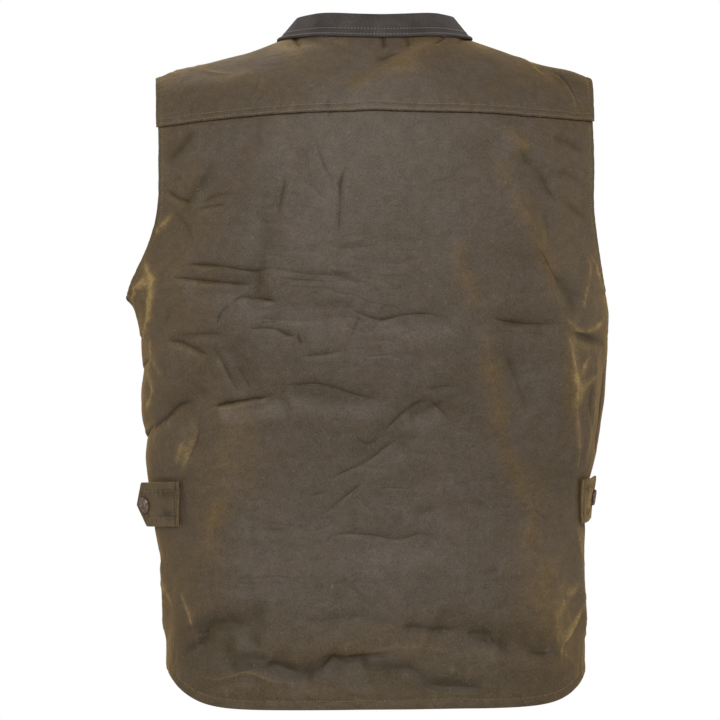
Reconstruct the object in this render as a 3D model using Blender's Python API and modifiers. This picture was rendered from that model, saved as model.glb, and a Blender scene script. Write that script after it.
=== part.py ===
"""A waxed-cotton work vest, filled out as if it were worn, with nobody in it.

Metres, +Z up. The front faces -Y and the wearer's left side is +X. The origin lies between
the two shoulders, where a wearer carries the vest. Every height in the tables is measured
up from the lowest point of the back hem.

A place on the cloth has three numbers: face (+1 back, -1 front), across (-1 to 1, the share
of the way from the middle to the armhole or side seam) and path (the way up the cloth,
which equals the height as far as the shoulder blades and then runs on to the ridge).
"""
import math
from functools import cache

import bmesh
import bpy
import numpy as np
from mathutils import Vector

NAME = "work_vest"

# Driving sizes
HOLD_HEIGHT = 0.655
ARMHOLE_HEIGHT = 0.417
BLADE_HEIGHT = 0.520
DOME_RUN = 0.200
RIDGE_PATH = BLADE_HEIGHT + DOME_RUN
TIP_LEFT = 0.2285
TIP_RIGHT = 0.2275
WALL = 0.0022
GAP = 0.0005
SIDE_GAP = 0.0004
LAP = 0.010

# Body sections, from the hem up to the shoulder blades: the half widths seen from behind,
# the depths, the squareness of the ring, how far the armhole is cut in, and how far the left
# side is drawn out to a point under the arm
SECTION = ("height", "left", "right", "back", "front", "square",
           "back_edge", "front_edge", "front_inset", "left_point")
SECTIONS = (
    (0.000, 0.2185, 0.2170, 0.1280, 0.1370, 3.60, 0.000, 0.000, 0.000, 0.0000),
    (0.060, 0.2185, 0.2175, 0.1260, 0.1360, 3.20, 0.000, 0.000, 0.000, 0.0000),
    (0.125, 0.2210, 0.2200, 0.1220, 0.1350, 2.80, 0.000, 0.000, 0.000, 0.0000),
    (0.165, 0.2295, 0.2200, 0.1190, 0.1340, 2.60, 0.000, 0.000, 0.000, 0.0000),
    (0.205, 0.2350, 0.2215, 0.1180, 0.1340, 2.60, 0.000, 0.000, 0.000, 0.0000),
    (0.254, 0.2410, 0.2330, 0.1220, 0.1360, 2.60, 0.000, 0.000, 0.000, 0.0000),
    (0.322, 0.2450, 0.2425, 0.1310, 0.1400, 2.50, 0.000, 0.000, 0.000, 0.0000),
    (0.379, 0.2470, 0.2445, 0.1380, 0.1430, 2.40, 0.000, 0.000, 0.000, 0.0000),
    (0.404, 0.2490, 0.2445, 0.1396, 0.1428, 2.35, 0.000, 0.000, 0.000, 0.0045),
    (0.417, 0.2490, 0.2420, 0.1402, 0.1424, 2.32, 0.000, 0.000, 0.000, 0.0100),
    (0.420, 0.2485, 0.2410, 0.1403, 0.1423, 2.31, 0.016, 0.017, 0.003, 0.0100),
    (0.430, 0.2455, 0.2370, 0.1406, 0.1418, 2.29, 0.032, 0.035, 0.009, 0.0095),
    (0.448, 0.2400, 0.2320, 0.1410, 0.1408, 2.25, 0.044, 0.050, 0.017, 0.0065),
    (0.473, 0.2340, 0.2275, 0.1410, 0.1390, 2.19, 0.053, 0.060, 0.024, 0.0015),
    (0.499, 0.2290, 0.2235, 0.1405, 0.1367, 2.13, 0.059, 0.066, 0.030, 0.0000),
    (0.520, 0.2265, 0.2220, 0.1400, 0.1350, 2.10, 0.061, 0.068, 0.033, 0.0000),
)
UNDERARM_POWER = 6

# Ridge of the shoulders seen from behind
RIDGE = ("from_centre", "left", "right")
RIDGE_LINE = (
    (0.000, 0.7100, 0.7100),
    (0.060, 0.6980, 0.6990),
    (0.100, 0.6800, 0.6820),
    (0.130, 0.6685, 0.6715),
    (0.170, 0.6580, 0.6590),
    (0.212, 0.6475, 0.6500),
    (0.231, 0.6400, 0.6425),
)

# Hem, yoke seams and neckline
HEM_SIDE_RISE = 0.032
HEM_SIDE_POWER = 10
YOKE_SEAM_HEIGHT = 0.600
YOKE_SEAM_FALL_LEFT = 0.012
YOKE_SEAM_FALL_RIGHT = 0.004
FRONT_YOKE_AT_NECK = 0.042
FRONT_YOKE_AT_ARM = 0.062
NECK_HALF_WIDTH = 0.0955
NECK_FRONT_SQUARE = 0.8
BACK_NECK = 0.070
FRONT_NECK = 0.142

# Front closing, collar, tabs and snaps
PLACKET_HALF = 0.017
PLACKET_FADE = 0.070
FRONT_SNAP_HEIGHTS = (0.060, 0.175, 0.290, 0.405, 0.520)
COLLAR_WALL = 0.0028
COLLAR_LAP = 0.005
COLLAR_HEIGHT = 0.0265
COLLAR_LEAN_TURNS = (0.0, 0.25 * math.pi, 0.5 * math.pi, math.pi)
COLLAR_LEANS = (math.radians(36), math.radians(34), math.radians(41), math.radians(16))
COLLAR_END_ROUND = 0.014
COLLAR_END_GAP = 0.003
TAB_HEIGHT = 0.0445
TAB_CENTRE = 0.2035
TAB_LENGTH = 0.074
TAB_POINT = 0.015
TAB_WALL = 0.0030
TAB_BEND = 0.030
TAB_SNAP_FROM_TIP = 0.018
SEAT_WIDTH = 0.011
SEAT_CLEARANCE = 0.0014
SEAT_SEARCH_STEPS = 60
SEAT_SEARCH_FROM = 0.85

# Side tabs: where each is sewn to the back, the angle from the back at which it stands out
# at its free end, and how far its top leans out and how far it droops there
TAB = ("side", "start", "end_angle", "lean", "droop")
TABS = {
    "left": (1.0, 0.2050, math.radians(60), 0.0070, 0.0040),
    "right": (-1.0, 0.2080, math.radians(76), 0.0035, -0.0015),
}
SNAP_RADIUS = 0.0085
SNAP_HEIGHT = 0.0026
STUD_RADIUS = 0.0050
STUD_HEIGHT = 0.0012
SNAP_STEPS = 20
SNAP_SEAT_GAP = 0.0004

# Profile of a snap's cap or stud, as shares of its radius and height
CAP_PROFILE = ((0.0, 1.0), (0.55, 0.94), (0.87, 0.80), (1.0, 0.28), (1.0, 0.0), (0.0, 0.0))

# Columns and rows of the cloth nets
HALF_COLUMNS = 13
NECK_COLUMNS = 5
FRONT_NECK_COLUMNS = 6
BODY_ROWS = 31
ARMHOLE_ROWS = 14
ARMHOLE_ROW_POWER = 1.4
YOKE_ROWS = 6
YOKE_FIRST_DROP = 0.42
TAB_COLUMNS = 12
TAB_ROWS = 6
COLLAR_RISES = (0.25, 0.50, 0.75, 1.0)
FOLD_STEPS = 24
SLOPE_STEP = 1e-4
DIAGONAL_TIE = 0.95

# Largest folds: where each starts and ends on its face, how far it bows, its half width,
# and how far it lifts the cloth (less than nothing for a trough). On the back and front a
# place is from the centre and up, and on a side it is back from the side seam and up.
FOLD = ("face", "from_place", "from_height", "to_place", "to_height", "bow", "width", "lift")
FOLDS = (
    ("back", 0.222, 0.287, 0.180, 0.322, 0.004, 0.013, -0.0060),
    ("back", 0.168, 0.302, 0.095, 0.311, 0.003, 0.012, -0.0045),
    ("back", 0.175, 0.290, 0.100, 0.298, 0.003, 0.013, 0.0035),
    ("back", 0.098, 0.322, -0.010, 0.311, 0.009, 0.012, -0.0040),
    ("back", 0.160, 0.366, 0.137, 0.311, -0.004, 0.012, -0.0040),
    ("back", 0.210, 0.369, 0.163, 0.352, 0.003, 0.012, -0.0040),
    ("back", 0.202, 0.438, 0.124, 0.429, 0.003, 0.012, -0.0035),
    ("back", 0.203, 0.423, 0.126, 0.419, 0.002, 0.012, -0.0035),
    ("back", 0.145, 0.408, 0.110, 0.411, 0.002, 0.012, -0.0030),
    ("back", 0.120, 0.398, 0.025, 0.389, -0.004, 0.014, -0.0030),
    ("back", 0.012, 0.391, -0.072, 0.390, 0.005, 0.012, -0.0030),
    ("back", -0.112, 0.390, -0.186, 0.384, 0.002, 0.013, -0.0045),
    ("back", 0.012, 0.264, -0.047, 0.305, -0.004, 0.012, -0.0032),
    ("back", 0.030, 0.238, -0.024, 0.265, -0.003, 0.012, -0.0030),
    ("back", -0.026, 0.290, -0.055, 0.310, 0.004, 0.012, -0.0030),
    ("back", -0.055, 0.310, -0.082, 0.284, 0.004, 0.012, -0.0030),
    ("back", -0.112, 0.385, -0.126, 0.262, 0.006, 0.018, 0.0045),
    ("back", -0.138, 0.352, -0.152, 0.292, 0.003, 0.015, -0.0035),
    ("back", 0.131, 0.588, 0.186, 0.506, -0.004, 0.017, -0.0035),
    ("back", 0.092, 0.578, 0.112, 0.436, 0.004, 0.015, -0.0028),
    ("back", -0.098, 0.575, -0.152, 0.500, 0.003, 0.018, -0.0030),
    ("back", -0.132, 0.527, -0.192, 0.436, 0.005, 0.015, 0.0035),
    ("back", -0.142, 0.564, -0.176, 0.522, 0.003, 0.013, -0.0035),
    ("back", 0.185, 0.090, 0.120, 0.082, 0.004, 0.020, -0.0060),
    ("back", 0.190, 0.062, 0.150, 0.054, 0.002, 0.014, -0.0045),
    ("back", 0.115, 0.050, 0.070, 0.036, 0.004, 0.014, -0.0050),
    ("back", 0.060, 0.052, 0.015, 0.046, 0.004, 0.013, -0.0045),
    ("back", -0.050, 0.088, -0.118, 0.072, 0.004, 0.018, -0.0050),
    ("back", -0.118, 0.066, -0.172, 0.062, 0.003, 0.014, -0.0055),
    ("back", 0.020, 0.172, -0.060, 0.168, 0.004, 0.014, -0.0025),
    ("back", 0.165, 0.235, 0.155, 0.120, -0.006, 0.022, 0.0030),
    ("back", -0.150, 0.215, -0.182, 0.120, 0.005, 0.020, 0.0035),
    ("back", -0.068, 0.664, 0.030, 0.612, 0.004, 0.016, 0.0030),
    ("back", -0.165, 0.655, -0.205, 0.598, -0.010, 0.013, -0.0030),
    ("back", 0.205, 0.628, 0.130, 0.640, 0.006, 0.014, 0.0025),
    ("front", 0.205, 0.398, 0.120, 0.372, 0.005, 0.015, -0.0045),
    ("front", 0.190, 0.455, 0.150, 0.392, 0.004, 0.014, -0.0035),
    ("front", 0.200, 0.300, 0.110, 0.322, 0.005, 0.014, -0.0045),
    ("front", 0.150, 0.250, 0.060, 0.232, 0.004, 0.015, -0.0030),
    ("front", 0.175, 0.092, 0.085, 0.078, 0.005, 0.018, -0.0045),
    ("front", 0.110, 0.560, 0.150, 0.480, 0.004, 0.016, -0.0030),
    ("front", -0.198, 0.385, -0.110, 0.362, -0.005, 0.015, -0.0045),
    ("front", -0.186, 0.448, -0.142, 0.400, -0.004, 0.014, -0.0035),
    ("front", -0.192, 0.288, -0.105, 0.305, -0.005, 0.014, -0.0040),
    ("front", -0.140, 0.222, -0.055, 0.242, 0.004, 0.015, -0.0030),
    ("front", -0.180, 0.082, -0.090, 0.100, 0.005, 0.018, -0.0045),
    ("front", -0.105, 0.552, -0.148, 0.470, 0.004, 0.016, -0.0030),
    ("left", 0.060, 0.285, -0.045, 0.262, 0.004, 0.014, -0.0040),
    ("left", 0.050, 0.352, -0.040, 0.330, 0.004, 0.014, -0.0035),
    ("left", 0.035, 0.150, 0.010, 0.062, 0.004, 0.015, 0.0035),
    ("left", -0.045, 0.150, -0.060, 0.070, 0.004, 0.016, -0.0035),
    ("right", 0.075, 0.362, 0.070, 0.242, 0.002, 0.012, 0.0050),
    ("right", 0.038, 0.350, 0.030, 0.250, 0.004, 0.014, -0.0045),
    ("right", 0.060, 0.175, 0.052, 0.062, 0.005, 0.014, 0.0040),
    ("right", -0.040, 0.330, -0.050, 0.245, 0.004, 0.015, -0.0035),
)

# Each piece's colour, roughness and metallic value
CLOTH = ((0.112, 0.089, 0.063), 0.72, 0.0)
COLLAR_CLOTH = ((0.066, 0.056, 0.050), 0.88, 0.0)
COPPER = ((0.245, 0.185, 0.150), 0.38, 0.9)


def read(names, table, column, at):
    """Reads one column of a table along a smooth curve through its rows."""
    spots = np.array([row[0] for row in table])
    values = np.array([row[names.index(column)] for row in table])
    slopes = np.gradient(values, spots)
    at = np.clip(np.asarray(at, dtype=float), spots[0], spots[-1])
    low = np.clip(np.searchsorted(spots, at, side="right") - 1, 0, len(spots) - 2)
    span = spots[low + 1] - spots[low]
    share = (at - spots[low]) / span
    start = values[low] * (1 + 2 * share) * (1 - share) ** 2
    end = values[low + 1] * share ** 2 * (3 - 2 * share)
    leave = slopes[low] * span * share * (1 - share) ** 2
    arrive = slopes[low + 1] * span * share ** 2 * (share - 1)
    return start + end + leave + arrive


def ease(share):
    """Goes smoothly from 0 to 1."""
    share = np.clip(share, 0.0, 1.0)
    return share * share * (3 - 2 * share)


def section(column, height):
    return read(SECTION, SECTIONS, column, height)


def dome_turn(path):
    """The angle that the cloth has turned over the shoulder, from the blades to the ridge."""
    return np.clip((path - BLADE_HEIGHT) / DOME_RUN, 0.0, 1.0) * math.pi / 2


def reach(face, side, path):
    """Half width of the cloth at a path, to the armhole or the side seam."""
    height = np.minimum(path, BLADE_HEIGHT)
    edge = np.where(side >= 0, section("left", height), section("right", height))
    edge = edge - np.where(face > 0, 0.0, section("front_inset", height))
    tip = np.where(side >= 0, TIP_LEFT, TIP_RIGHT)
    return edge + (tip - edge) * (1 - np.cos(dome_turn(path)))


def ridge_height(from_centre):
    """Height of the shoulder ridge."""
    far = np.abs(from_centre)
    left = read(RIDGE, RIDGE_LINE, "left", far)
    return np.where(from_centre >= 0, left, read(RIDGE, RIDGE_LINE, "right", far))


def form(face, across, path):
    """Points of the outer face of the cloth, before its folds."""
    height = np.minimum(path, BLADE_HEIGHT)
    width = reach(face, across, height)
    depth = np.where(face > 0, section("back", height), section("front", height))
    edge = np.where(face > 0, section("back_edge", height), section("front_edge", height))
    edge = np.maximum(edge, SIDE_GAP / 2)
    power = section("square", height)
    widest = width / (1 - (edge / depth) ** power) ** (1 / power)
    inside = np.clip(1 - np.abs(across * width / widest) ** power, 0.0, 1.0)
    turn = dome_turn(path)
    point = np.where(across > 0, section("left_point", height), 0.0)
    x = across * reach(face, across, path) + point * np.abs(across) ** UNDERARM_POWER
    y = face * depth * inside ** (1 / power) * np.cos(turn)
    z = height + (ridge_height(x) - BLADE_HEIGHT) * np.sin(turn)
    return np.stack([x, y, z], axis=-1)


def outward(face, across, path):
    """The direction straight out of the cloth at each place."""
    left = np.clip(across + SLOPE_STEP, -1.0, 1.0)
    right = np.clip(across - SLOPE_STEP, -1.0, 1.0)
    sideways = form(face, left, path) - form(face, right, path)
    high = np.minimum(path + SLOPE_STEP, RIDGE_PATH)
    low = high - 2 * SLOPE_STEP
    upward = form(face, across, high) - form(face, across, low)
    normal = np.cross(upward, sideways) * np.asarray(face, dtype=float)[..., None]
    return normal / np.linalg.norm(normal, axis=-1, keepdims=True)


def path_at(from_centre, height):
    """The path at which the cloth reaches a height."""
    share = (height - BLADE_HEIGHT) / (ridge_height(from_centre) - BLADE_HEIGHT)
    share = np.clip(share, 0.0, 1.0)
    over = BLADE_HEIGHT + DOME_RUN * np.arcsin(share) / (math.pi / 2)
    return np.where(height <= BLADE_HEIGHT, height, over)


def fold_line(face_name, places, heights):
    """Points of the cloth under a fold."""
    if face_name in ("back", "front"):
        face = np.full(places.shape, 1.0 if face_name == "back" else -1.0)
        path = path_at(places, heights)
        across = np.clip(places / reach(face, places, path), -1.0, 1.0)
        return form(face, across, path)
    side = 1.0 if face_name == "left" else -1.0
    face = np.where(places >= 0, 1.0, -1.0)
    depth = np.where(face > 0, section("back", heights), section("front", heights))
    power = section("square", heights)
    across = side * (1 - np.abs(places / depth) ** power) ** (1 / power)
    return form(face, across, heights)


@cache
def fold_lines():
    """Each fold's points on the cloth, its half width and its lift."""
    lines = []
    share = np.linspace(0.0, 1.0, FOLD_STEPS)
    for face_name, place_1, height_1, place_2, height_2, bow, width, rise in FOLDS:
        run = np.array([place_2 - place_1, height_2 - height_1])
        run = run / np.linalg.norm(run)
        bulge = 4 * share * (1 - share) * bow
        places = place_1 + (place_2 - place_1) * share - run[1] * bulge
        heights = height_1 + (height_2 - height_1) * share + run[0] * bulge
        lines.append((fold_line(face_name, places, heights), width, rise))
    return lines


def fold_lift(points):
    """How far the folds lift each point of the cloth, less near a fold's ends."""
    lift = np.zeros(points.shape[:-1])
    share = np.linspace(0.0, 1.0, FOLD_STEPS)
    strength = ease(4 * np.minimum(share, 1 - share) + 0.25)
    for line, width, rise in fold_lines():
        far = np.linalg.norm(points[..., None, :] - line, axis=-1)
        nearest = np.argmin(far, axis=-1)
        lift += rise * strength[nearest] * np.exp(-(np.min(far, axis=-1) / width) ** 2)
    return lift


def seat_lift(points):
    """How far the cloth is pulled out to meet the snaps of the side tabs."""
    lift = np.zeros(points.shape[:-1])
    for tab in TABS.values():
        seat, stand = tab_seat(tab)
        far = np.linalg.norm(points - seat, axis=-1)
        pull = stand - STUD_HEIGHT - GAP - SEAT_CLEARANCE - fold_lift(seat)
        lift += pull * np.exp(-(far / SEAT_WIDTH) ** 4)
    return lift


def cloth(face, across, path, lift):
    """Outer and inner points of a wall whose outer face stands a lift off the form."""
    face = np.broadcast_to(np.asarray(face, dtype=float), np.shape(across))
    base = form(face, across, path)
    normal = outward(face, across, path)
    raised = (fold_lift(base) + seat_lift(base) + lift)[..., None]
    return base + normal * raised, base + normal * (raised - WALL)


def neck_node(turn):
    """Face, across and path of the neckline at a turn, 0 at the back and pi at the front."""
    size = np.abs(turn)
    face = np.where(np.cos(size) >= 0, 1.0, -1.0)
    square = np.where(face > 0, 1.0, NECK_FRONT_SQUARE)
    x = NECK_HALF_WIDTH * np.sin(size) ** square * np.sign(turn)
    over = np.abs(np.cos(size)) * np.where(face > 0, BACK_NECK, FRONT_NECK)
    path = RIDGE_PATH - over
    return face, x / reach(face, x, path), path


def neck_turn(half_width):
    """The turn at which the front neckline has a half width."""
    return math.pi - math.asin((half_width / NECK_HALF_WIDTH) ** (1 / NECK_FRONT_SQUARE))


def neck_corner(drop):
    """The turn at which the front neckline is a drop below the ridge."""
    return math.pi - np.arccos(drop / FRONT_NECK)


def front_seam_drop(share):
    """How far down the front the yoke reaches, from the neck (0) to the armhole (1)."""
    return FRONT_YOKE_AT_NECK + (FRONT_YOKE_AT_ARM - FRONT_YOKE_AT_NECK) * share


def shoulder_strip(drop_of_share):
    """Across and path of the yoke's columns from the neck to the armhole, on the front."""
    share = np.linspace(0.0, 1.0, HALF_COLUMNS - NECK_COLUMNS + 1)
    drop = drop_of_share(share)
    path = RIDGE_PATH - drop
    neck = NECK_HALF_WIDTH * np.sin(neck_corner(drop[0])) ** NECK_FRONT_SQUARE
    start = neck / reach(np.full(share.shape, -1.0), np.ones(share.shape), path)
    return start + (1 - start) * share, path


def back_columns():
    return np.sin(np.linspace(-1.0, 1.0, 2 * HALF_COLUMNS + 1) * math.pi / 2)


def hem_height(across):
    return HEM_SIDE_RISE * np.abs(across) ** HEM_SIDE_POWER


def panel_rows(hem, top):
    """Paths of a panel's rows from its hem to its top, close together under the arm."""
    body = np.linspace(0.0, 1.0, BODY_ROWS + 1)[:-1, None]
    arm = np.linspace(0.0, 1.0, ARMHOLE_ROWS + 1)[:, None] ** ARMHOLE_ROW_POWER
    lower = hem + (ARMHOLE_HEIGHT - hem) * body
    return np.concatenate([lower, ARMHOLE_HEIGHT + (top - ARMHOLE_HEIGHT) * arm])


def yoke_seam_path(across):
    fall = np.where(across >= 0, YOKE_SEAM_FALL_LEFT, YOKE_SEAM_FALL_RIGHT)
    return path_at(across * TIP_LEFT, YOKE_SEAM_HEIGHT - fall * across ** 2)


def collection(name):
    made = bpy.data.collections.new(name)
    bpy.context.scene.collection.children.link(made)
    return made


def finish_of(name, look):
    """A material with a colour, a roughness and a metallic value."""
    colour, roughness, metallic = look
    made = bpy.data.materials.new(name)
    made.use_nodes = True
    shader = made.node_tree.nodes["Principled BSDF"]
    shader.inputs["Base Color"].default_value = (*colour, 1.0)
    shader.inputs["Roughness"].default_value = roughness
    shader.inputs["Metallic"].default_value = metallic
    return made


def wall_object(name, outer, inner, look, cells=None):
    """A closed wall between two nets of points, over the cells that are there.

    Each cell is split along its shorter diagonal, the same one on both faces, so the wall
    keeps its thickness.
    """
    rows, columns = outer.shape[0] - 1, outer.shape[1] - 1
    if cells is None:
        cells = np.ones((rows, columns), dtype=bool)
    mesh = bmesh.new()
    made = {}

    def vertex(net, row, column):
        key = (net, row, column)
        if key not in made:
            point = (outer if net == "outer" else inner)[row, column]
            made[key] = mesh.verts.new((point[0], point[1], point[2] - HOLD_HEIGHT))
        return made[key]

    def is_cell(row, column):
        return 0 <= row < rows and 0 <= column < columns and cells[row, column]

    def rim(start, end):
        corners = [vertex("outer", *start), vertex("outer", *end),
                   vertex("inner", *end), vertex("inner", *start)]
        mesh.faces.new((corners[0], corners[1], corners[2]))
        mesh.faces.new((corners[0], corners[2], corners[3]))

    for row in range(rows):
        for column in range(columns):
            if not cells[row, column]:
                continue
            ring = [(row, column), (row, column + 1), (row + 1, column + 1), (row + 1, column)]
            rising = np.linalg.norm(outer[ring[0]] - outer[ring[2]])
            falling = np.linalg.norm(outer[ring[1]] - outer[ring[3]])
            first = 1 if falling < DIAGONAL_TIE * rising else 0
            for net in ("outer", "inner"):
                corners = [vertex(net, *ring[(first + step) % 4]) for step in range(4)]
                mesh.faces.new((corners[0], corners[1], corners[2]))
                mesh.faces.new((corners[0], corners[2], corners[3]))
            beside = [(row - 1, column), (row, column + 1), (row + 1, column), (row, column - 1)]
            for side, neighbour in enumerate(beside):
                if not is_cell(*neighbour):
                    rim(ring[side], ring[(side + 1) % 4])
    bmesh.ops.recalc_face_normals(mesh, faces=mesh.faces)
    return mesh_object(name, mesh, look)


def mesh_object(name, mesh, look):
    data = bpy.data.meshes.new(name)
    mesh.to_mesh(data)
    mesh.free()
    data.materials.append(finish_of(name + "_finish", look))
    thing = bpy.data.objects.new(name, data)
    GARMENT.objects.link(thing)
    return thing


def make_back_panel():
    """One piece from the hem to just under the yoke."""
    columns = back_columns()
    seam = yoke_seam_path(columns)
    path = np.concatenate([panel_rows(hem_height(columns), seam), (seam + LAP)[None, :]])
    across = np.broadcast_to(columns, path.shape)
    outer, inner = cloth(1.0, across, path, 0.0)
    wall_object("back_panel", outer, inner, CLOTH)


def yoke_net():
    """Faces, columns, paths and cells of the yoke, from its back seam to its front seams."""
    numbers = np.arange(-HALF_COLUMNS, HALF_COLUMNS + 1)
    columns = back_columns()
    seam = yoke_seam_path(columns)
    size, side = np.abs(numbers), np.where(numbers >= 0, 1.0, -1.0)
    _, neck_across, neck_path = neck_node(side * np.minimum(size / NECK_COLUMNS, 1.0) * math.pi / 2)
    out = np.clip((size - NECK_COLUMNS) / (HALF_COLUMNS - NECK_COLUMNS), 0.0, 1.0)
    ridge_across = neck_across + (side - neck_across) * out
    face, across, path = [np.ones(size.shape)], [columns], [seam]
    for row in range(1, YOKE_ROWS + 1):
        share = (row - 1) / (YOKE_ROWS - 1)
        face.append(np.ones(size.shape))
        across.append(columns + (ridge_across - columns) * share)
        path.append((seam + LAP) + (neck_path - seam - LAP) * share)
    drops = (lambda share: front_seam_drop(share) * YOKE_FIRST_DROP,
             lambda share: front_seam_drop(share) - LAP,
             front_seam_drop)
    for drop in drops:
        strip_across, strip_path = shoulder_strip(drop)
        pick = np.maximum(size - NECK_COLUMNS, 0)
        face.append(-np.ones(size.shape))
        across.append(side * strip_across[pick])
        path.append(strip_path[pick])
    cells = np.ones((YOKE_ROWS + len(drops), 2 * HALF_COLUMNS), dtype=bool)
    cells[YOKE_ROWS:, HALF_COLUMNS - NECK_COLUMNS:HALF_COLUMNS + NECK_COLUMNS] = False
    return np.array(face), np.array(across), np.array(path), cells


def make_yoke():
    """One piece over both shoulders, lapped over the back panel and the two fronts."""
    face, across, path, cells = yoke_net()
    outer, inner = cloth(face, across, path, GAP + WALL)
    wall_object("back_yoke", outer, inner, CLOTH, cells)


def front_net(side):
    """Columns, paths and cells of one front, from the placket to its side."""
    strip_across, strip_path = shoulder_strip(front_seam_drop)
    lap_across, lap_path = shoulder_strip(lambda share: front_seam_drop(share) - LAP)
    placket = np.array([-PLACKET_HALF, 0.0, PLACKET_HALF])
    first = neck_turn(PLACKET_HALF)
    turns = np.linspace(first, neck_corner(front_seam_drop(0.0)), FRONT_NECK_COLUMNS + 1)[1:]
    _, neck_across, neck_path = neck_node(turns)
    middle = RIDGE_PATH - FRONT_NECK * math.cos(math.pi - first)
    middle_reach = reach(np.float64(-1.0), np.float64(side), np.float64(middle))
    top_path = np.concatenate([[middle] * 3, neck_path, strip_path[1:]])
    top_across = np.concatenate([placket / middle_reach, neck_across, strip_across[1:]])
    count = top_path.size - 1
    spread = np.sin(np.linspace(0.0, 1.0, count - 1) * math.pi / 2)
    hem = hem_height(np.concatenate([[0.0, 0.0], spread]))
    path = panel_rows(hem, top_path)
    rows = path.shape[0] - 1
    lap_row = np.concatenate([top_path[:-lap_path.size], lap_path])
    path = np.concatenate([path, lap_row[None, :]])
    width = reach(-1.0, side, path)
    edge = PLACKET_HALF / width
    start = (top_across[2:] - top_across[2]) / (1 - top_across[2])
    blend = ease(np.concatenate([np.linspace(0.0, 1.0, rows + 1), [1.0]]))[:, None]
    inside = spread + (start - spread) * blend
    across = edge[:, 2:] + (1 - edge[:, 2:]) * inside
    across = np.concatenate([placket[:2] / width[:, :2], across], axis=1)
    across[-2, -strip_path.size:] = strip_across
    across[-1, -lap_path.size:] = lap_across
    cells = np.ones((rows + 1, count), dtype=bool)
    cells[-1, :count - lap_path.size + 1] = False
    return across, path, cells


def make_front(name, side, over):
    """One front. The left one is raised at the placket, where it lies on the right one."""
    across, path, cells = front_net(side)
    width = reach(-1.0, side, path)
    from_edge = np.clip(across * width - 2 * PLACKET_HALF, 0.0, None)
    lift = over * (GAP + WALL) * (1 - ease(from_edge / PLACKET_FADE))
    outer, inner = cloth(-1.0, side * across, path, lift)
    wall_object(name, outer, inner, CLOTH, cells)


def collar_turns():
    """Turns of the neckline at the collar's columns, the same as those of the pieces under it."""
    back = np.linspace(0.0, math.pi / 2, NECK_COLUMNS + 1)
    strip = neck_corner(np.array([YOKE_FIRST_DROP * FRONT_YOKE_AT_NECK, FRONT_YOKE_AT_NECK - LAP]))
    corner = neck_corner(front_seam_drop(0.0))
    front = np.linspace(corner, neck_turn(PLACKET_HALF), FRONT_NECK_COLUMNS + 1)
    half = np.concatenate([back, strip, front, [neck_turn(COLLAR_END_GAP)]])
    return np.concatenate([-half[:0:-1], half])


def make_collar():
    """A stand collar, lapped over the neck edge of the yoke and the fronts."""
    turns = collar_turns()
    face, across, path = neck_node(turns)
    base = form(face, across, path)
    normal = outward(face, across, path)
    base = base + normal * fold_lift(base)[:, None]
    radial = np.stack([np.sin(turns), np.cos(turns), np.zeros(turns.shape)], axis=-1)
    lean = np.interp(np.abs(turns), COLLAR_LEAN_TURNS, COLLAR_LEANS)
    up = np.array([0.0, 0.0, 1.0])
    rise = up * np.cos(lean)[:, None] - radial * np.sin(lean)[:, None]
    away = radial - normal * np.sum(radial * normal, axis=-1, keepdims=True)
    away = away / np.linalg.norm(away, axis=-1, keepdims=True)
    face_out = radial * np.cos(lean)[:, None] + up * np.sin(lean)[:, None]
    bend = normal + face_out
    bend = bend / np.linalg.norm(bend, axis=-1, keepdims=True)
    along = np.linalg.norm(np.diff(base, axis=0), axis=-1)
    walk = np.concatenate([[0.0], np.cumsum(along)])
    to_end = np.minimum(np.minimum(walk, walk[-1] - walk), COLLAR_END_ROUND)
    drop = COLLAR_END_ROUND - np.sqrt(COLLAR_END_ROUND ** 2 - (COLLAR_END_ROUND - to_end) ** 2)
    foot = WALL + 2 * GAP
    inner = [base + away * COLLAR_LAP + normal * foot, base + bend * foot]
    outer = [inner[0] + normal * COLLAR_WALL, inner[1] + bend * COLLAR_WALL]
    for height in COLLAR_RISES:
        tall = (height * COLLAR_HEIGHT - drop * height ** 2)[:, None]
        inner.append(base + face_out * foot + rise * tall)
        outer.append(inner[-1] + face_out * COLLAR_WALL)
    wall_object("collar", np.array(outer), np.array(inner), COLLAR_CLOTH)


@cache
def tab_foot(side, start, level):
    """The point where a tab leaves the cloth, and the direction straight out of it there."""
    height = np.float64(TAB_CENTRE + level * TAB_HEIGHT)
    across = side * start / reach(1.0, side, height)
    seat = form(1.0, across, height)
    normal = outward(1.0, across, height)
    return seat + normal * (GAP + fold_lift(seat)), normal


def tab_point(tab, along, level, out=0.0):
    """A point of a tab: along from its sewn end, level from -0.5 to 0.5, out from its inside."""
    side, start, end_angle, lean, droop = tab
    foot, normal = tab_foot(side, start, level)
    first_angle = math.atan2(abs(normal[0]), normal[1])
    steps = np.linspace(0.0, along, FOLD_STEPS)
    angles = first_angle + (end_angle - first_angle) * ease(steps / TAB_BEND)
    ahead = np.trapz(np.cos(angles), steps)
    aside = np.trapz(np.sin(angles), steps)
    off = out + lean * level * along / TAB_LENGTH
    x = ahead + off * math.sin(angles[-1])
    y = off * math.cos(angles[-1]) - aside
    return foot + np.array([side * x, y, -droop * along / TAB_LENGTH])


def tab_seat(tab):
    """The place of the cloth under a tab's snap, and how far the tab's inside is from it."""
    side = tab[0]
    inside = tab_point(tab, TAB_LENGTH - TAB_SNAP_FROM_TIP, 0.0)
    face = np.repeat([1.0, -1.0], SEAT_SEARCH_STEPS)
    share = np.linspace(SEAT_SEARCH_FROM, 1.0, SEAT_SEARCH_STEPS)
    across = side * np.concatenate([share, share[::-1]])
    ring = form(face, across, np.full(face.shape, TAB_CENTRE))
    far = np.linalg.norm(ring - inside, axis=-1)
    return ring[np.argmin(far)], float(np.min(far))


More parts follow.
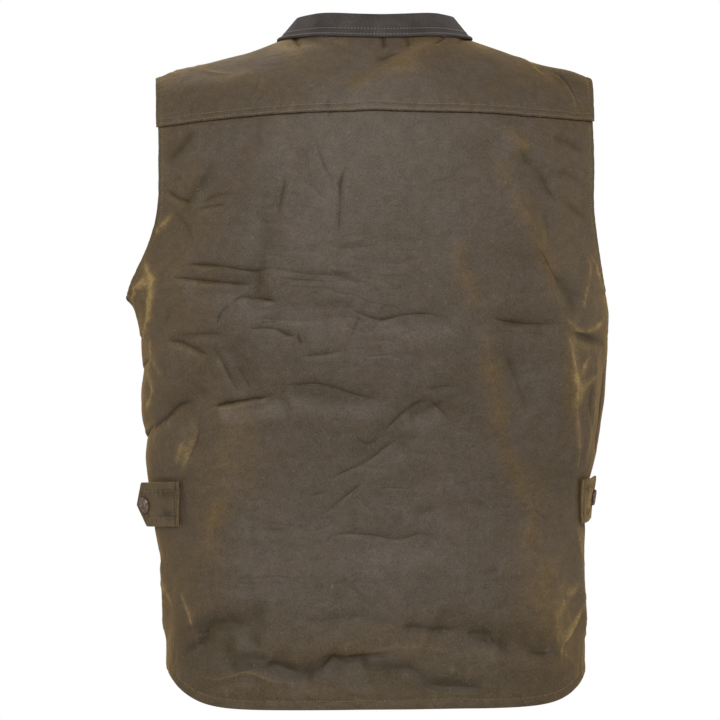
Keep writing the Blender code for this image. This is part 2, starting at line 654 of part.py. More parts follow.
def make_tab(name, tab):
    """A pointed tab, sewn to the back at its straight end and standing off the side."""
    inner = np.zeros((TAB_ROWS + 1, TAB_COLUMNS + 1, 3))
    outer = np.zeros(inner.shape)
    for row, level in enumerate(np.linspace(-0.5, 0.5, TAB_ROWS + 1)):
        length = TAB_LENGTH - TAB_POINT * 2 * abs(level)
        for column, share in enumerate(np.linspace(0.0, 1.0, TAB_COLUMNS + 1)):
            inner[row, column] = tab_point(tab, share * length, level)
            outer[row, column] = tab_point(tab, share * length, level, TAB_WALL)
    wall_object(name, outer, inner, CLOTH)


def turned_disc(name, radius, height, point, normal, look):
    """A round cap with a soft edge, turned about its axis and set on the cloth."""
    mesh = bmesh.new()
    points = [mesh.verts.new((far * radius, 0.0, up * height)) for far, up in CAP_PROFILE]
    for first, second in zip(points, points[1:]):
        mesh.edges.new((first, second))
    thing = mesh_object(name, mesh, look)
    screw = thing.modifiers.new("turn", "SCREW")
    screw.steps = SNAP_STEPS
    screw.render_steps = SNAP_STEPS
    screw.use_merge_vertices = True
    screw.merge_threshold = 0.0001
    screw.use_smooth_shade = True
    thing.rotation_mode = "QUATERNION"
    thing.rotation_quaternion = Vector((0.0, 0.0, 1.0)).rotation_difference(Vector(normal))
    thing.location = Vector((point[0], point[1], point[2] - HOLD_HEIGHT))


def make_tab_snap(cap_name, stud_name, tab):
    """The snap of a tab: a cap on its outside, and a stud under it."""
    along = TAB_LENGTH - TAB_SNAP_FROM_TIP
    rise = SNAP_RADIUS / TAB_HEIGHT
    centre = tab_point(tab, along, 0.0, TAB_WALL)
    forward = tab_point(tab, along + SNAP_RADIUS, 0.0) - tab_point(tab, along - SNAP_RADIUS, 0.0)
    upward = tab_point(tab, along, rise) - tab_point(tab, along, -rise)
    axis = np.cross(upward, forward) * tab[0]
    axis = axis / np.linalg.norm(axis)
    turned_disc(cap_name, SNAP_RADIUS, SNAP_HEIGHT,
                centre + axis * (GAP + SNAP_SEAT_GAP), axis, COPPER)
    turned_disc(stud_name, STUD_RADIUS, STUD_HEIGHT,
                centre - axis * (TAB_WALL + STUD_HEIGHT + GAP), axis, COPPER)


def make_front_snaps():
    """The caps that close the front, down the middle of the placket."""
    for number, height in enumerate(FRONT_SNAP_HEIGHTS, start=1):
        face, path = np.float64(-1.0), np.float64(height)
        base = form(face, np.float64(0.0), path)
        normal = outward(face, np.float64(0.0), path)
        lift = 2 * GAP + WALL + SNAP_SEAT_GAP + float(fold_lift(base))
        turned_disc(f"snap_front_{number}", SNAP_RADIUS, SNAP_HEIGHT,
                    base + normal * lift, normal, COPPER)


for old in list(bpy.data.objects):
    bpy.data.objects.remove(old, do_unlink=True)
GARMENT = collection(NAME)
make_back_panel()
make_yoke()
make_front("front_left", 1.0, 1.0)
make_front("front_right", -1.0, 0.0)
make_collar()
for side_name, side_tab in TABS.items():
    make_tab(f"side_tab_{side_name}", side_tab)
    make_tab_snap(f"snap_{side_name}", f"stud_{side_name}", side_tab)
make_front_snaps()
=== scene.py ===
"""The looks of a waxed-cotton work vest, filled out as if it were worn, with nobody in it.

Metres, +Z up. The front faces -Y and the wearer's left side is +X. Every height in the tables
is measured up from the lowest point of the back hem. A place on the cloth has three numbers:
face (+1 back, -1 front), across (-1 to 1, the share of the way from the middle to the armhole
or side seam) and path (the way up the cloth, which equals the height as far as the shoulder
blades and then runs on to the ridge).
"""
import math
from functools import cache

import bpy
import numpy as np
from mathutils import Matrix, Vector
from mathutils.kdtree import KDTree


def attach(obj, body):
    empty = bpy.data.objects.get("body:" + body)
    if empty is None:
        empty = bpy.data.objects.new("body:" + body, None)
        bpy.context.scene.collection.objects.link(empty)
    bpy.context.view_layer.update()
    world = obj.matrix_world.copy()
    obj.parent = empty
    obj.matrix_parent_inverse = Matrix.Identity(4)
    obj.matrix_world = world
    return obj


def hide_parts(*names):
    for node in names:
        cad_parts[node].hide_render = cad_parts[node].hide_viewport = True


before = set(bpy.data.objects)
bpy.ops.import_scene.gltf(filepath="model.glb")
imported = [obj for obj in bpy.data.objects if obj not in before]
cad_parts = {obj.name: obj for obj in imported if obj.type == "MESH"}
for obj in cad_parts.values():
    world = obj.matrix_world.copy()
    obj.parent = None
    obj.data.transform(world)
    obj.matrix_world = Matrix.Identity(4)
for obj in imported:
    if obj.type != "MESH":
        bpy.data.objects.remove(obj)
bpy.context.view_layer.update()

MM = 0.001
MM_IN_METRE = 1000

# Driving sizes of the solids
HOLD_HEIGHT = 0.655
ARMHOLE_HEIGHT = 0.417
BLADE_HEIGHT = 0.520
DOME_RUN = 0.200
RIDGE_PATH = BLADE_HEIGHT + DOME_RUN
TIP_LEFT = 0.2285
TIP_RIGHT = 0.2275
WALL = 0.0022
GAP = 0.0005
SIDE_GAP = 0.0004
LAP = 0.010
SECTION = ("height", "left", "right", "back", "front", "square",
           "back_edge", "front_edge", "front_inset", "left_point")
SECTIONS = (
    (0.000, 0.2185, 0.2170, 0.1280, 0.1370, 3.60, 0.000, 0.000, 0.000, 0.0000),
    (0.060, 0.2185, 0.2175, 0.1260, 0.1360, 3.20, 0.000, 0.000, 0.000, 0.0000),
    (0.125, 0.2210, 0.2200, 0.1220, 0.1350, 2.80, 0.000, 0.000, 0.000, 0.0000),
    (0.165, 0.2295, 0.2200, 0.1190, 0.1340, 2.60, 0.000, 0.000, 0.000, 0.0000),
    (0.205, 0.2350, 0.2215, 0.1180, 0.1340, 2.60, 0.000, 0.000, 0.000, 0.0000),
    (0.254, 0.2410, 0.2330, 0.1220, 0.1360, 2.60, 0.000, 0.000, 0.000, 0.0000),
    (0.322, 0.2450, 0.2425, 0.1310, 0.1400, 2.50, 0.000, 0.000, 0.000, 0.0000),
    (0.379, 0.2470, 0.2445, 0.1380, 0.1430, 2.40, 0.000, 0.000, 0.000, 0.0000),
    (0.404, 0.2490, 0.2445, 0.1396, 0.1428, 2.35, 0.000, 0.000, 0.000, 0.0045),
    (0.417, 0.2490, 0.2420, 0.1402, 0.1424, 2.32, 0.000, 0.000, 0.000, 0.0100),
    (0.420, 0.2485, 0.2410, 0.1403, 0.1423, 2.31, 0.016, 0.017, 0.003, 0.0100),
    (0.430, 0.2455, 0.2370, 0.1406, 0.1418, 2.29, 0.032, 0.035, 0.009, 0.0095),
    (0.448, 0.2400, 0.2320, 0.1410, 0.1408, 2.25, 0.044, 0.050, 0.017, 0.0065),
    (0.473, 0.2340, 0.2275, 0.1410, 0.1390, 2.19, 0.053, 0.060, 0.024, 0.0015),
    (0.499, 0.2290, 0.2235, 0.1405, 0.1367, 2.13, 0.059, 0.066, 0.030, 0.0000),
    (0.520, 0.2265, 0.2220, 0.1400, 0.1350, 2.10, 0.061, 0.068, 0.033, 0.0000),
)
UNDERARM_POWER = 6
RIDGE_ROUND = 0.030
RIDGE = ("from_centre", "left", "right")
RIDGE_LINE = (
    (0.000, 0.7100, 0.7100),
    (0.060, 0.6980, 0.6990),
    (0.100, 0.6800, 0.6820),
    (0.130, 0.6685, 0.6715),
    (0.170, 0.6580, 0.6590),
    (0.212, 0.6475, 0.6500),
    (0.231, 0.6400, 0.6425),
)
HEM_SIDE_RISE = 0.032
HEM_SIDE_POWER = 10
YOKE_SEAM_HEIGHT = 0.600
YOKE_SEAM_FALL_LEFT = 0.012
YOKE_SEAM_FALL_RIGHT = 0.004
FRONT_YOKE_AT_NECK = 0.042
FRONT_YOKE_AT_ARM = 0.062
NECK_HALF_WIDTH = 0.0955
NECK_FRONT_SQUARE = 0.8
BACK_NECK = 0.070
FRONT_NECK = 0.142
PLACKET_HALF = 0.017
PLACKET_FADE = 0.070
FRONT_SNAP_HEIGHTS = (0.060, 0.175, 0.290, 0.405, 0.520)
COLLAR_WALL = 0.0028
COLLAR_LAP = 0.005
COLLAR_HEIGHT = 0.0265
COLLAR_LEAN_TURNS = (0.0, 0.25 * math.pi, 0.5 * math.pi, math.pi)
COLLAR_LEANS = (math.radians(36), math.radians(34), math.radians(41), math.radians(16))
COLLAR_END_ROUND = 0.014
COLLAR_END_GAP = 0.003
TAB_HEIGHT = 0.0445
TAB_CENTRE = 0.2035
TAB_LENGTH = 0.074
TAB_POINT = 0.015
TAB_WALL = 0.0030
TAB_BEND = 0.030
TAB_SNAP_FROM_TIP = 0.018
SEAT_WIDTH = 0.011
SEAT_CLEARANCE = 0.0014
SEAT_SEARCH_STEPS = 60
SEAT_SEARCH_FROM = 0.85

# Each tab: its side, how far from the middle it is sewn, the angle that its free end has turned,
# how much more its top stands off than its bottom, and how far its free end hangs
TABS = {
    "left": (1.0, 0.2050, math.radians(60), 0.0070, 0.0040),
    "right": (-1.0, 0.2080, math.radians(76), 0.0035, -0.0015),
}
SNAP_RADIUS = 0.0085
SNAP_HEIGHT = 0.0026
STUD_RADIUS = 0.0050
STUD_HEIGHT = 0.0012
SNAP_SEAT_GAP = 0.0004
FOLD_STEPS = 24
FOLD_REACH = 3.2
FOLD_TAPER = 4
FOLD_END = 0.25
SLOPE_STEP = 1e-4
LEAST = 1e-9

# Soft folds of the solids, in millimetres: from a place and height to a place and height, how
# far each bows aside, its half width and its lift. A place is measured from the middle on the
# back and the front, and back from the side seam on a side
FOLDS = {
    "back": (
        (222, 287, 180, 322, 4, 13, -6), (168, 302, 95, 311, 3, 12, -4.5),
        (175, 290, 100, 298, 3, 13, 3.5), (98, 322, -10, 311, 9, 12, -4),
        (160, 366, 137, 311, -4, 12, -4), (210, 369, 163, 352, 3, 12, -4),
        (202, 438, 124, 429, 3, 12, -3.5), (203, 423, 126, 419, 2, 12, -3.5),
        (145, 408, 110, 411, 2, 12, -3), (120, 398, 25, 389, -4, 14, -3),
        (12, 391, -72, 390, 5, 12, -3), (-112, 390, -186, 384, 2, 13, -4.5),
        (12, 264, -47, 305, -4, 12, -3.2), (30, 238, -24, 265, -3, 12, -3),
        (-26, 290, -55, 310, 4, 12, -3), (-55, 310, -82, 284, 4, 12, -3),
        (-112, 385, -126, 262, 6, 18, 4.5), (-138, 352, -152, 292, 3, 15, -3.5),
        (131, 588, 186, 506, -4, 17, -3.5), (92, 578, 112, 436, 4, 15, -2.8),
        (-98, 575, -152, 500, 3, 18, -3), (-132, 527, -192, 436, 5, 15, 3.5),
        (-142, 564, -176, 522, 3, 13, -3.5), (185, 90, 120, 82, 4, 20, -6),
        (190, 62, 150, 54, 2, 14, -4.5), (115, 50, 70, 36, 4, 14, -5),
        (60, 52, 15, 46, 4, 13, -4.5), (-50, 88, -118, 72, 4, 18, -5),
        (-118, 66, -172, 62, 3, 14, -5.5), (20, 172, -60, 168, 4, 14, -2.5),
        (165, 235, 155, 120, -6, 22, 3), (-150, 215, -182, 120, 5, 20, 3.5),
        (-68, 664, 30, 612, 4, 16, 3), (-165, 655, -205, 598, -10, 13, -3),
        (205, 628, 130, 640, 6, 14, 2.5),
    ),
    "front": (
        (205, 398, 120, 372, 5, 15, -4.5), (190, 455, 150, 392, 4, 14, -3.5),
        (200, 300, 110, 322, 5, 14, -4.5), (150, 250, 60, 232, 4, 15, -3),
        (175, 92, 85, 78, 5, 18, -4.5), (110, 560, 150, 480, 4, 16, -3),
        (-198, 385, -110, 362, -5, 15, -4.5), (-186, 448, -142, 400, -4, 14, -3.5),
        (-192, 288, -105, 305, -5, 14, -4), (-140, 222, -55, 242, 4, 15, -3),
        (-180, 82, -90, 100, 5, 18, -4.5), (-105, 552, -148, 470, 4, 16, -3),
    ),
    "left": (
        (60, 285, -45, 262, 4, 14, -4), (50, 352, -40, 330, 4, 14, -3.5),
        (35, 150, 10, 62, 4, 15, 3.5), (-45, 150, -60, 70, 4, 16, -3.5),
    ),
    "right": (
        (75, 362, 70, 242, 2, 12, 5), (38, 350, 30, 250, 4, 14, -4.5), (60, 175, 52, 62, 5, 14, 4),
        (-40, 330, -50, 245, 4, 15, -3.5),
    ),
}

# The eye that looks at the back: its turn from straight behind, its rise, its distance, and
# the place it looks at
EYE_TURN = math.radians(4.0)
EYE_RISE = math.radians(0.4)
EYE_FAR = 2.8
EYE_HALF_VIEW = 0.378
LOOK_AT = np.array([0.0157, 0.0, -0.3056 + HOLD_HEIGHT])
EYE_BACK = np.array([math.sin(EYE_TURN) * math.cos(EYE_RISE),
                     math.cos(EYE_TURN) * math.cos(EYE_RISE), math.sin(EYE_RISE)])
EYE_LEFT = np.array([math.cos(EYE_TURN), -math.sin(EYE_TURN), 0.0])
EYE_UP = np.cross(EYE_LEFT, EYE_BACK)
BACK_FAR = 2.670
SEEN_MIDDLE = 0.0250
SEEN_HEM = 0.3500

# The search for a place that the eye sees at a spot: its steps, how far out it starts and ends,
# how close it comes to the hem and the ridge, its longest step across and up, and its least area
SEEK_STEPS = 8
SEEK_START = 0.98
SEEK_END = 0.9995
SEEK_MARGIN = 0.001
SEEK_ACROSS = 0.1
SEEK_UP = 0.03
SEEK_LEAST = 1e-5

# Creases, in millimetres: how wide and how high each is (less than nothing for a trough), the
# height of the lip along its right-hand side, and its corners, two numbers each. On the back,
# as the eye sees it, they are measured from its middle (more towards the wearer's left) and up
# from the hem, on the front from the middle and up, and on a side back from its seam and up
CREASES = {
    "seen": (
        # Gathers under the collar
        (2.4, -2.2, 0.4, 91, 676, 88, 668, 84, 661),
        (2.2, -1.9, 0.4, 3, 677, 2, 668, 4, 661),
        (2.2, -2, 0.4, -19, 677, -21, 669, -18, 662),
        (2.4, -1.9, 0.4, -61, 677, -58, 669, -50, 661),
        (2.6, -2.1, 0.5, -80, 677, -77, 670, -70, 663),
        (2.2, -1.6, 0.3, 50, 677, 47, 667),
        # Yoke
        (3.2, 1, 0, 229, 630, 190, 643, 183, 639, 145, 633),
        (2.5, 0.43, 0, 105, 668, 85, 661, 68, 665),
        (11, 1.2, 0, -55, 673, -32, 658, -15, 645, 5, 638, 45, 615),
        (2.2, -1.3, 0.3, -15, 660, -4, 657, 8, 651),
        (1.9, -0.43, 0, 125, 628, 133, 613),
        (1.9, -0.5, 0, 203, 615, 203, 590),
        (1.9, -0.43, 0, 193, 610, 193, 590),
        (1.9, -0.36, 0, 58, 613, 56, 588),
        (3.2, 1.1, 0, -127, 655, -140, 648, -150, 639, -159, 633),
        (2.5, -1.7, 0.5, -167, 640, -180, 630, -190, 615, -197, 598, -201, 590),
        (2.5, -0.43, 0, -150, 630, -147, 608),
        (5, -0.5, 0, -115, 643, -112, 623),
        # Upper left
        (6, -1.1, 0, 190, 583, 206, 560, 220, 548),
        (7, -0.9, 0, 145, 585, 160, 568, 173, 548, 188, 523, 203, 498),
        (3, -0.9, 0, 215, 528, 203, 534),
        (2.5, -1.4, 0.3, 220, 521, 210, 514, 194, 508),
        (2.2, -1.1, 0.3, 185, 505, 168, 515, 145, 516),
        (2.2, -1.2, 0.4, 189, 499, 173, 504, 160, 506),
        (4, -0.9, 0, 213, 498, 203, 490, 193, 468),
        # Under the left arm
        (3.4, 1.3, 0, 230, 475, 225, 483, 213, 496),
        (3.6, 1.7, 0, 240, 460, 239, 443, 234, 430, 235, 415, 238, 390, 243, 370),
        (3.6, 1.5, 0, 223, 431, 245, 426, 251, 418, 249, 395, 243, 375),
        (3, 1.2, 0, 233, 373, 235, 358, 228, 340, 221, 330),
        (3.2, 1.1, 0, 240, 338, 235, 330, 233, 315, 240, 300),
        # Upper middle
        (2.2, -0.86, 0.22, 109, 493, 105, 510, 100, 533),
        (8.5, -1.2, 0, 119, 498, 120, 465, 125, 435, 129, 410),
        (2.2, -0.49, 0, 108, 520, 115, 500),
        (2.5, -0.49, 0, 71, 575, 65, 555, 58, 538, 51, 525),
        (2.5, -0.27, 0, 80, 563, 76, 540, 76, 520),
        (2, -0.86, 0.18, 47, 473, 45, 505, 44, 530, 39, 544),
        (4.2, -0.43, 0.11, 50, 460, 25, 463, -5, 466),
        (3.2, -0.32, 0, -12, 493, -30, 478),
        (3.2, -0.27, 0, 20, 420, 15, 440),
        # Left, below the arm
        (2.5, -1.5, 0.3, 203, 446, 173, 445, 140, 440, 110, 439),
        (2.5, -1.8, 0.6, 213, 433, 178, 429, 138, 426),
        (3.2, -0.7, 0.2, 105, 440, 75, 436, 40, 434, 25, 430),
        (2.5, -0.6, 0.2, 108, 432, 70, 429, 12, 428),
        (3.2, -0.5, 0, 105, 425, 85, 423, 50, 423),
        (2.2, -1.5, 0.3, 156, 406, 153, 410, 125, 411, 105, 408),
        (2.2, -1, 0, 156, 406, 164, 398, 169, 386),
        (3.5, -0.8, 0, 213, 400, 223, 383),
        (3.5, -1, 0.2, 218, 373, 185, 376, 160, 376),
        (3.2, -0.7, 0.2, 135, 393, 105, 390, 65, 390, 35, 393),
        (2.5, -1.9, 0.5, 219, 370, 198, 363, 176, 353),
        (2.5, -1.4, 0.3, 137, 381, 110, 380, 93, 374, 88, 376),
        (2.2, -1, 0, 88, 376, 84, 365),
        (2.5, -0.8, 0, 25, 395, 30, 383, 35, 370),
        (2.5, -1, 0.2, 45, 408, 28, 398, 0, 390, -15, 394, -40, 396, -65, 391),
        (3.2, -0.8, 0.4, 85, 353, 65, 355, 40, 359),
        (2.5, -1.4, 0.6, 173, 365, 160, 340, 146, 313),
        (2.2, -0.9, 0.3, 150, 344, 135, 320),
        # Left, at the waist
        (2.4, -1.8, 0.9, 175, 303, 148, 308, 113, 313),
        (3, -2.2, 0.3, 235, 278, 223, 290, 205, 306, 195, 308),
        (4, 0.9, 0, 190, 303, 193, 288, 189, 278, 195, 260, 205, 238),
        (3, 0.7, 0, 203, 270, 210, 243),
        (2.5, -0.8, 0, 185, 288, 186, 270, 197, 245),
        # Middle
        (2.5, -0.95, 0.25, 110, 325, 90, 324.5, 68, 326, 48, 321, 30, 315, 13, 311, 3, 311),
        (2.5, -0.86, 0.19, 0, 278, -15, 293, -30, 305, -45, 310),
        (2.5, -0.71, 0, -45, 310, -57, 298, -70, 284),
        (2.5, -0.62, 0.16, -29, 325, -42, 320, -55, 323, -70, 323),
        (2.5, -0.57, 0, 30, 273, 18, 265, 5, 271),
        (2.5, -0.86, 0.32, 58, 229, 40, 238, 23, 245, 10, 253, -2, 263, -20, 273),
        (2.5, -0.71, 0.16, 65, 193, 55, 200, 40, 213, 20, 228),
        (2.5, -0.52, 0, 75, 213, 60, 218),
        (4.2, -0.52, 0.16, 125, 180, 103, 180, 90, 185, 80, 198),
        (2.5, -0.38, 0, 85, 175, 65, 180, 53, 186),
        (2.5, -0.67, 0.25, 58, 174, 35, 176, 10, 174, -15, 170, -37, 176, -52, 170),
        # Upper right
        (9, 0.8, 0, -107, 560, -132, 515, -149, 480, -161, 450, -166, 428, -177, 398, -181, 386),
        (8, 0.6, 0, -120, 587, -135, 570, -148, 559),
        (7.5, 0.5, 0, -150, 460, -168, 440, -176, 428),
        (3.2, -1.3, 0, -132, 560, -155, 540, -165, 523, -175, 503),
        (2.5, -0.7, 0, -160, 500, -165, 483, -166, 470),
        (5, -1.2, 0, -167, 575, -185, 568, -200, 558),
        (4, -1, 0, -170, 540, -190, 533, -200, 523),
        (4, -1, 0, -177, 510, -192, 498, -202, 493),
        (8, -1.5, 0, -167, 440, -182, 425, -190, 395),
        (2.5, 0.9, 0, -202, 455, -205, 440, -202, 415, -200, 395),
        (2.5, 0.9, 0, -205, 455, -211, 443, -215, 425),
        # Right, below the arm
        (2.6, -1.5, 0.3, -105, 393, -120, 389, -145, 386, -175, 386),
        (2.5, -0.6, 0, -115, 380, -165, 375),
        (2.5, 1.1, 0, -180, 395, -195, 380, -212, 383, -220, 393),
        (4, -1.9, 0.3, -185, 378, -200, 373, -220, 365),
        (8.5, 0.9, 0, -75, 473, -75, 448, -85, 423, -95, 398),
        (9, 1.2, 0, -95, 395, -110, 315, -120, 260, -137, 228, -145, 198, -145, 170, -155, 155,
         -165, 135, -177, 128),
        (4, -0.9, 0, -117, 370, -135, 325, -145, 298),
        (2.5, -0.7, 0, -147, 215, -151, 200),
        # Right side
        (2.4, 1.5, 0, -180, 383, -187, 365, -193, 340, -194, 315, -193, 290, -193, 260, -192,
         232),
        (2.2, 0.9, 0, -205, 358, -199, 340, -196, 315),
        (2.2, 0.9, 0, -212, 340, -200, 323, -196, 298),
        (8, 0.7, 0, -183, 372, -187, 330, -186, 280),
        (2.4, -1, 0, -206, 330, -203, 300, -206, 275),
        (2.4, 1, 0, -192, 185, -194, 160, -200, 140),
        (2.4, 1.4, 0, -200, 120, -190, 85, -180, 60, -177, 35),
        (2.2, 1.1, 0, -195, 105, -187, 75, -182, 45, -181, 28),
        (2.2, 0.9, 0, -203, 95, -197, 60, -196, 30),
        (8, 0.8, 0, -157, 122, -166, 98, -170, 70, -170, 40),
        (4, 1.1, 0, -194, 128, -180, 104, -175, 80, -177, 48),
        (2.5, -0.9, 0, -150, 203, -165, 188),
        # Soft hollows
        (5, -0.5, 0, -67, 225, -85, 223),
        (5, -0.5, 0, -30, 195, -50, 200),
        (5, -0.7, 0, -140, 105, -155, 90),
        (4, -0.9, 0, -143, 60, -158, 57, -172, 61),
        (4, -0.7, 0.2, -98, 133, -108, 139, -117, 137),
        (7, -0.6, 0, 68, 117, 42, 127, 12, 127, -28, 133),
        (6, -0.7, 0, 85, 80, 65, 87, 18, 92, -2, 85),
        # Lower left
        (9, 0.9, 0, 158, 215, 178, 170, 193, 140),
        (3.2, 1.3, 0, 223, 150, 218, 120, 213, 103),
        (2.2, 1.5, 0, 205, 118, 198, 98, 194, 83),
        (9, -1.5, 0.3, 190, 70, 175, 85, 158, 88, 140, 88),
        (6, -1.1, 0, 203, 53, 190, 65, 175, 70),
        (6, -0.8, 0, 133, 105, 115, 98),
        (5, -0.8, 0, 140, 73, 123, 68),
        # Above the hem
        (7, -1.5, 0.3, 155, 40, 130, 50, 110, 45, 85, 35),
        (2.5, 0.8, 0, 195, 38, 173, 30, 140, 35, 110, 25, 80, 25),
        (4.5, -1.1, 0.2, -15, 83, -48, 80, -72, 78),
        (7, -1.6, 0.4, -78, 78, -102, 73, -115, 63, -128, 58),
        (6, -1.2, 0.3, 85, 30, 65, 40, 52, 50, 35, 40),
        (4.5, -0.9, 0.2, 42, 52, -5, 53),
        (5, -1.5, 0.4, -5, 43, -28, 40, -48, 25, -72, 23, -98, 22),
        (5, -0.8, 0.2, 35, 23, 8, 27),
        (4, 0.35, 0, 85, 60, 18, 58, -15, 62, -65, 57, -102, 50),
    ),
    "front": (
        (2.5, -1.8, 0.8, -205, 398, -180, 392, -150, 381, -120, 372),
        (2.5, -1.6, 0.7, -200, 372, -172, 362, -140, 360),
        (2.5, -1.3, 0, -190, 455, -172, 432, -155, 395),
        (3.2, 1.3, 0, -178, 480, -162, 440, -148, 405),
        (2.5, -1.9, 0.8, -200, 300, -170, 312, -140, 318, -112, 322),
        (2.2, -1.3, 0.5, -160, 288, -130, 296, -98, 292),
        (3.2, -1.2, 0.5, -150, 250, -110, 244, -62, 232),
        (2.5, -1.1, 0, -92, 268, -70, 252, -52, 246),
        (6, -1.6, 0.7, -175, 92, -150, 80, -120, 74, -86, 78),
        (3.2, -1.4, 0.6, -130, 48, -100, 38, -66, 40, -40, 34),
        (4.2, -1.3, 0, -110, 560, -128, 525, -146, 482),
        (2.5, -1, 0, -82, 520, -88, 492, -84, 468),
        (8.5, 1.3, 0, -168, 250, -160, 205, -168, 160, -160, 120),
        (3.2, -0.9, 0.3, -140, 190, -105, 182, -72, 186),
        (4.2, -1.1, 0.4, -66, 130, -96, 120, -130, 126),
        (2.5, -1.8, 0.8, 110, 362, 138, 366, 170, 376, 200, 386),
        (2.5, -1.5, 0.6, 120, 342, 150, 346, 188, 360),
        (2.5, -1.3, 0, 186, 448, 166, 426, 146, 400),
        (3.2, 1.2, 0, 176, 470, 158, 436, 150, 402),
        (2.5, -1.8, 0.8, 105, 305, 140, 300, 170, 294, 194, 286),
        (2.2, -1.2, 0.5, 92, 282, 122, 274, 150, 276),
        (3.2, -1.2, 0.5, 55, 242, 96, 236, 140, 222),
        (2.5, -1.1, 0, 50, 268, 66, 256, 84, 250),
        (6, -1.6, 0.7, 90, 100, 122, 88, 152, 82, 180, 84),
        (3.2, -1.5, 0.6, 44, 40, 78, 32, 108, 38, 134, 30),
        (4.2, -1.3, 0, 105, 552, 124, 520, 148, 470),
        (2.5, -0.9, 0, 70, 512, 78, 488, 76, 462),
        (8.5, 1.2, 0, 162, 240, 168, 196, 158, 150),
        (3.2, -0.9, 0.3, 66, 178, 100, 186, 138, 180),
        (4.2, -1, 0.4, 60, 136, 92, 128, 124, 132),
        (2.5, -0.9, 0, -60, 628, -66, 606, -74, 590),
        (2.5, -0.9, 0, 64, 624, 70, 604, 80, 586),
        (2.5, -1, 0, -196, 600, -190, 575, -180, 552),
        (2.5, -1, 0, 192, 604, 188, 580, 178, 560),
    ),
    "left": (
        (2.5, -1.7, 0.7, 60, 286, 30, 276, 0, 268, -46, 262),
        (2.5, -0.8, 0.3, 52, 352, 20, 344, -40, 330),
        (2.2, -1.2, 0.4, 36, 376, 6, 372, -28, 378),
        (3.2, 1.2, 0, 36, 152, 26, 110, 12, 62),
        (3.2, -1.3, 0, -44, 152, -50, 112, -60, 70),
        (2.5, -1, 0.3, 20, 140, -8, 128, -34, 132),
        (2.5, -1.1, 0, -20, 236, -34, 200, -30, 172),
    ),
    "right": (
        (2.5, -1.6, 0.6, 38, 352, 34, 300, 30, 250),
        (2.5, -1.3, 0.5, -52, 318, -20, 326, 16, 330),
        (2.2, -1.2, 0.4, -40, 372, -8, 380, 28, 374),
        (3.2, 1.2, 0, -40, 330, -48, 290, -50, 245),
        (2.8, -1.3, 0, 30, 168, 22, 118, 30, 70),
        (2.5, -1, 0.3, -36, 120, -10, 126, 18, 118),
    ),
}
CREASE_STEP = 0.006
CREASE_LEAST_STEPS = 3
CREASE_REACH = 3.2
CREASE_POWER = 1.6
LIP_OUT = 1.7
LIP_WIDTH = 1.1
CREASE_TAPER = 0.24
CREASE_END_POWER = 0.75
CREASE_END_WIDTH = 0.6
LIP_REACH = 2.0

# How uneven a crease is along its length: by how much, over what run, and how far the waves
# have turned from one crease to the next
CREASE_WAVES = ((0.28, 0.0173, 2.1), (0.18, 0.0071, 4.3))
DRAW_IN = 0.55
DRAW_REACH = 2.2
# Raised creases wider than this (millimetres) are painted golden brown, as painted tilt shading, by
# a share
BROAD = 7.0
BROAD_TILT_SHADE = 1.1

# Painted sheen along the shoulder ridge, and how much gold is painted on raised creases, from the
# middle to the sides and near the hem: rubbed wax, with painted sheen that grows towards the sides
SHOULDER_SHEEN = 0.42
SHOULDER_WIDTH = 0.028
RUB_AND_SHEEN_PLACES = (0.06, 0.13, 0.18, 0.22)
RUB_AND_SHEEN_SHARES = (0.03, 0.09, 0.35, 0.98)
HEM_RUB_PLACES = (0.030, 0.090)
HEM_RUB_SHARES = (0.35, 0.0)

# The fine line along the bottom or top of a crease, painted as shade in a trough and as a gold
# highlight on a ridge: for creases of what width (millimetres), how far out from a crease it is
# kept (in its widths), and its own half width
CORE_CREASE = 2.6
CORE_GATE = 2.4
CORE_WIDTH = 1.35
# Painted tilt shading, golden brown towards the sides where the cloth turns away: distance from the
# middle (metres) and share
SIDE_TILT_SHADE_PLACES = (0.08, 0.15, 0.20, 0.23)
SIDE_TILT_SHADE_SHARES = (0.0, 0.03, 0.14, 0.44)
# Darker towards the hem: height (metres) and share
HEM_PLACES = (0.010, 0.060, 0.120)
HEM_SHARES = (0.90, 0.72, 0.05)
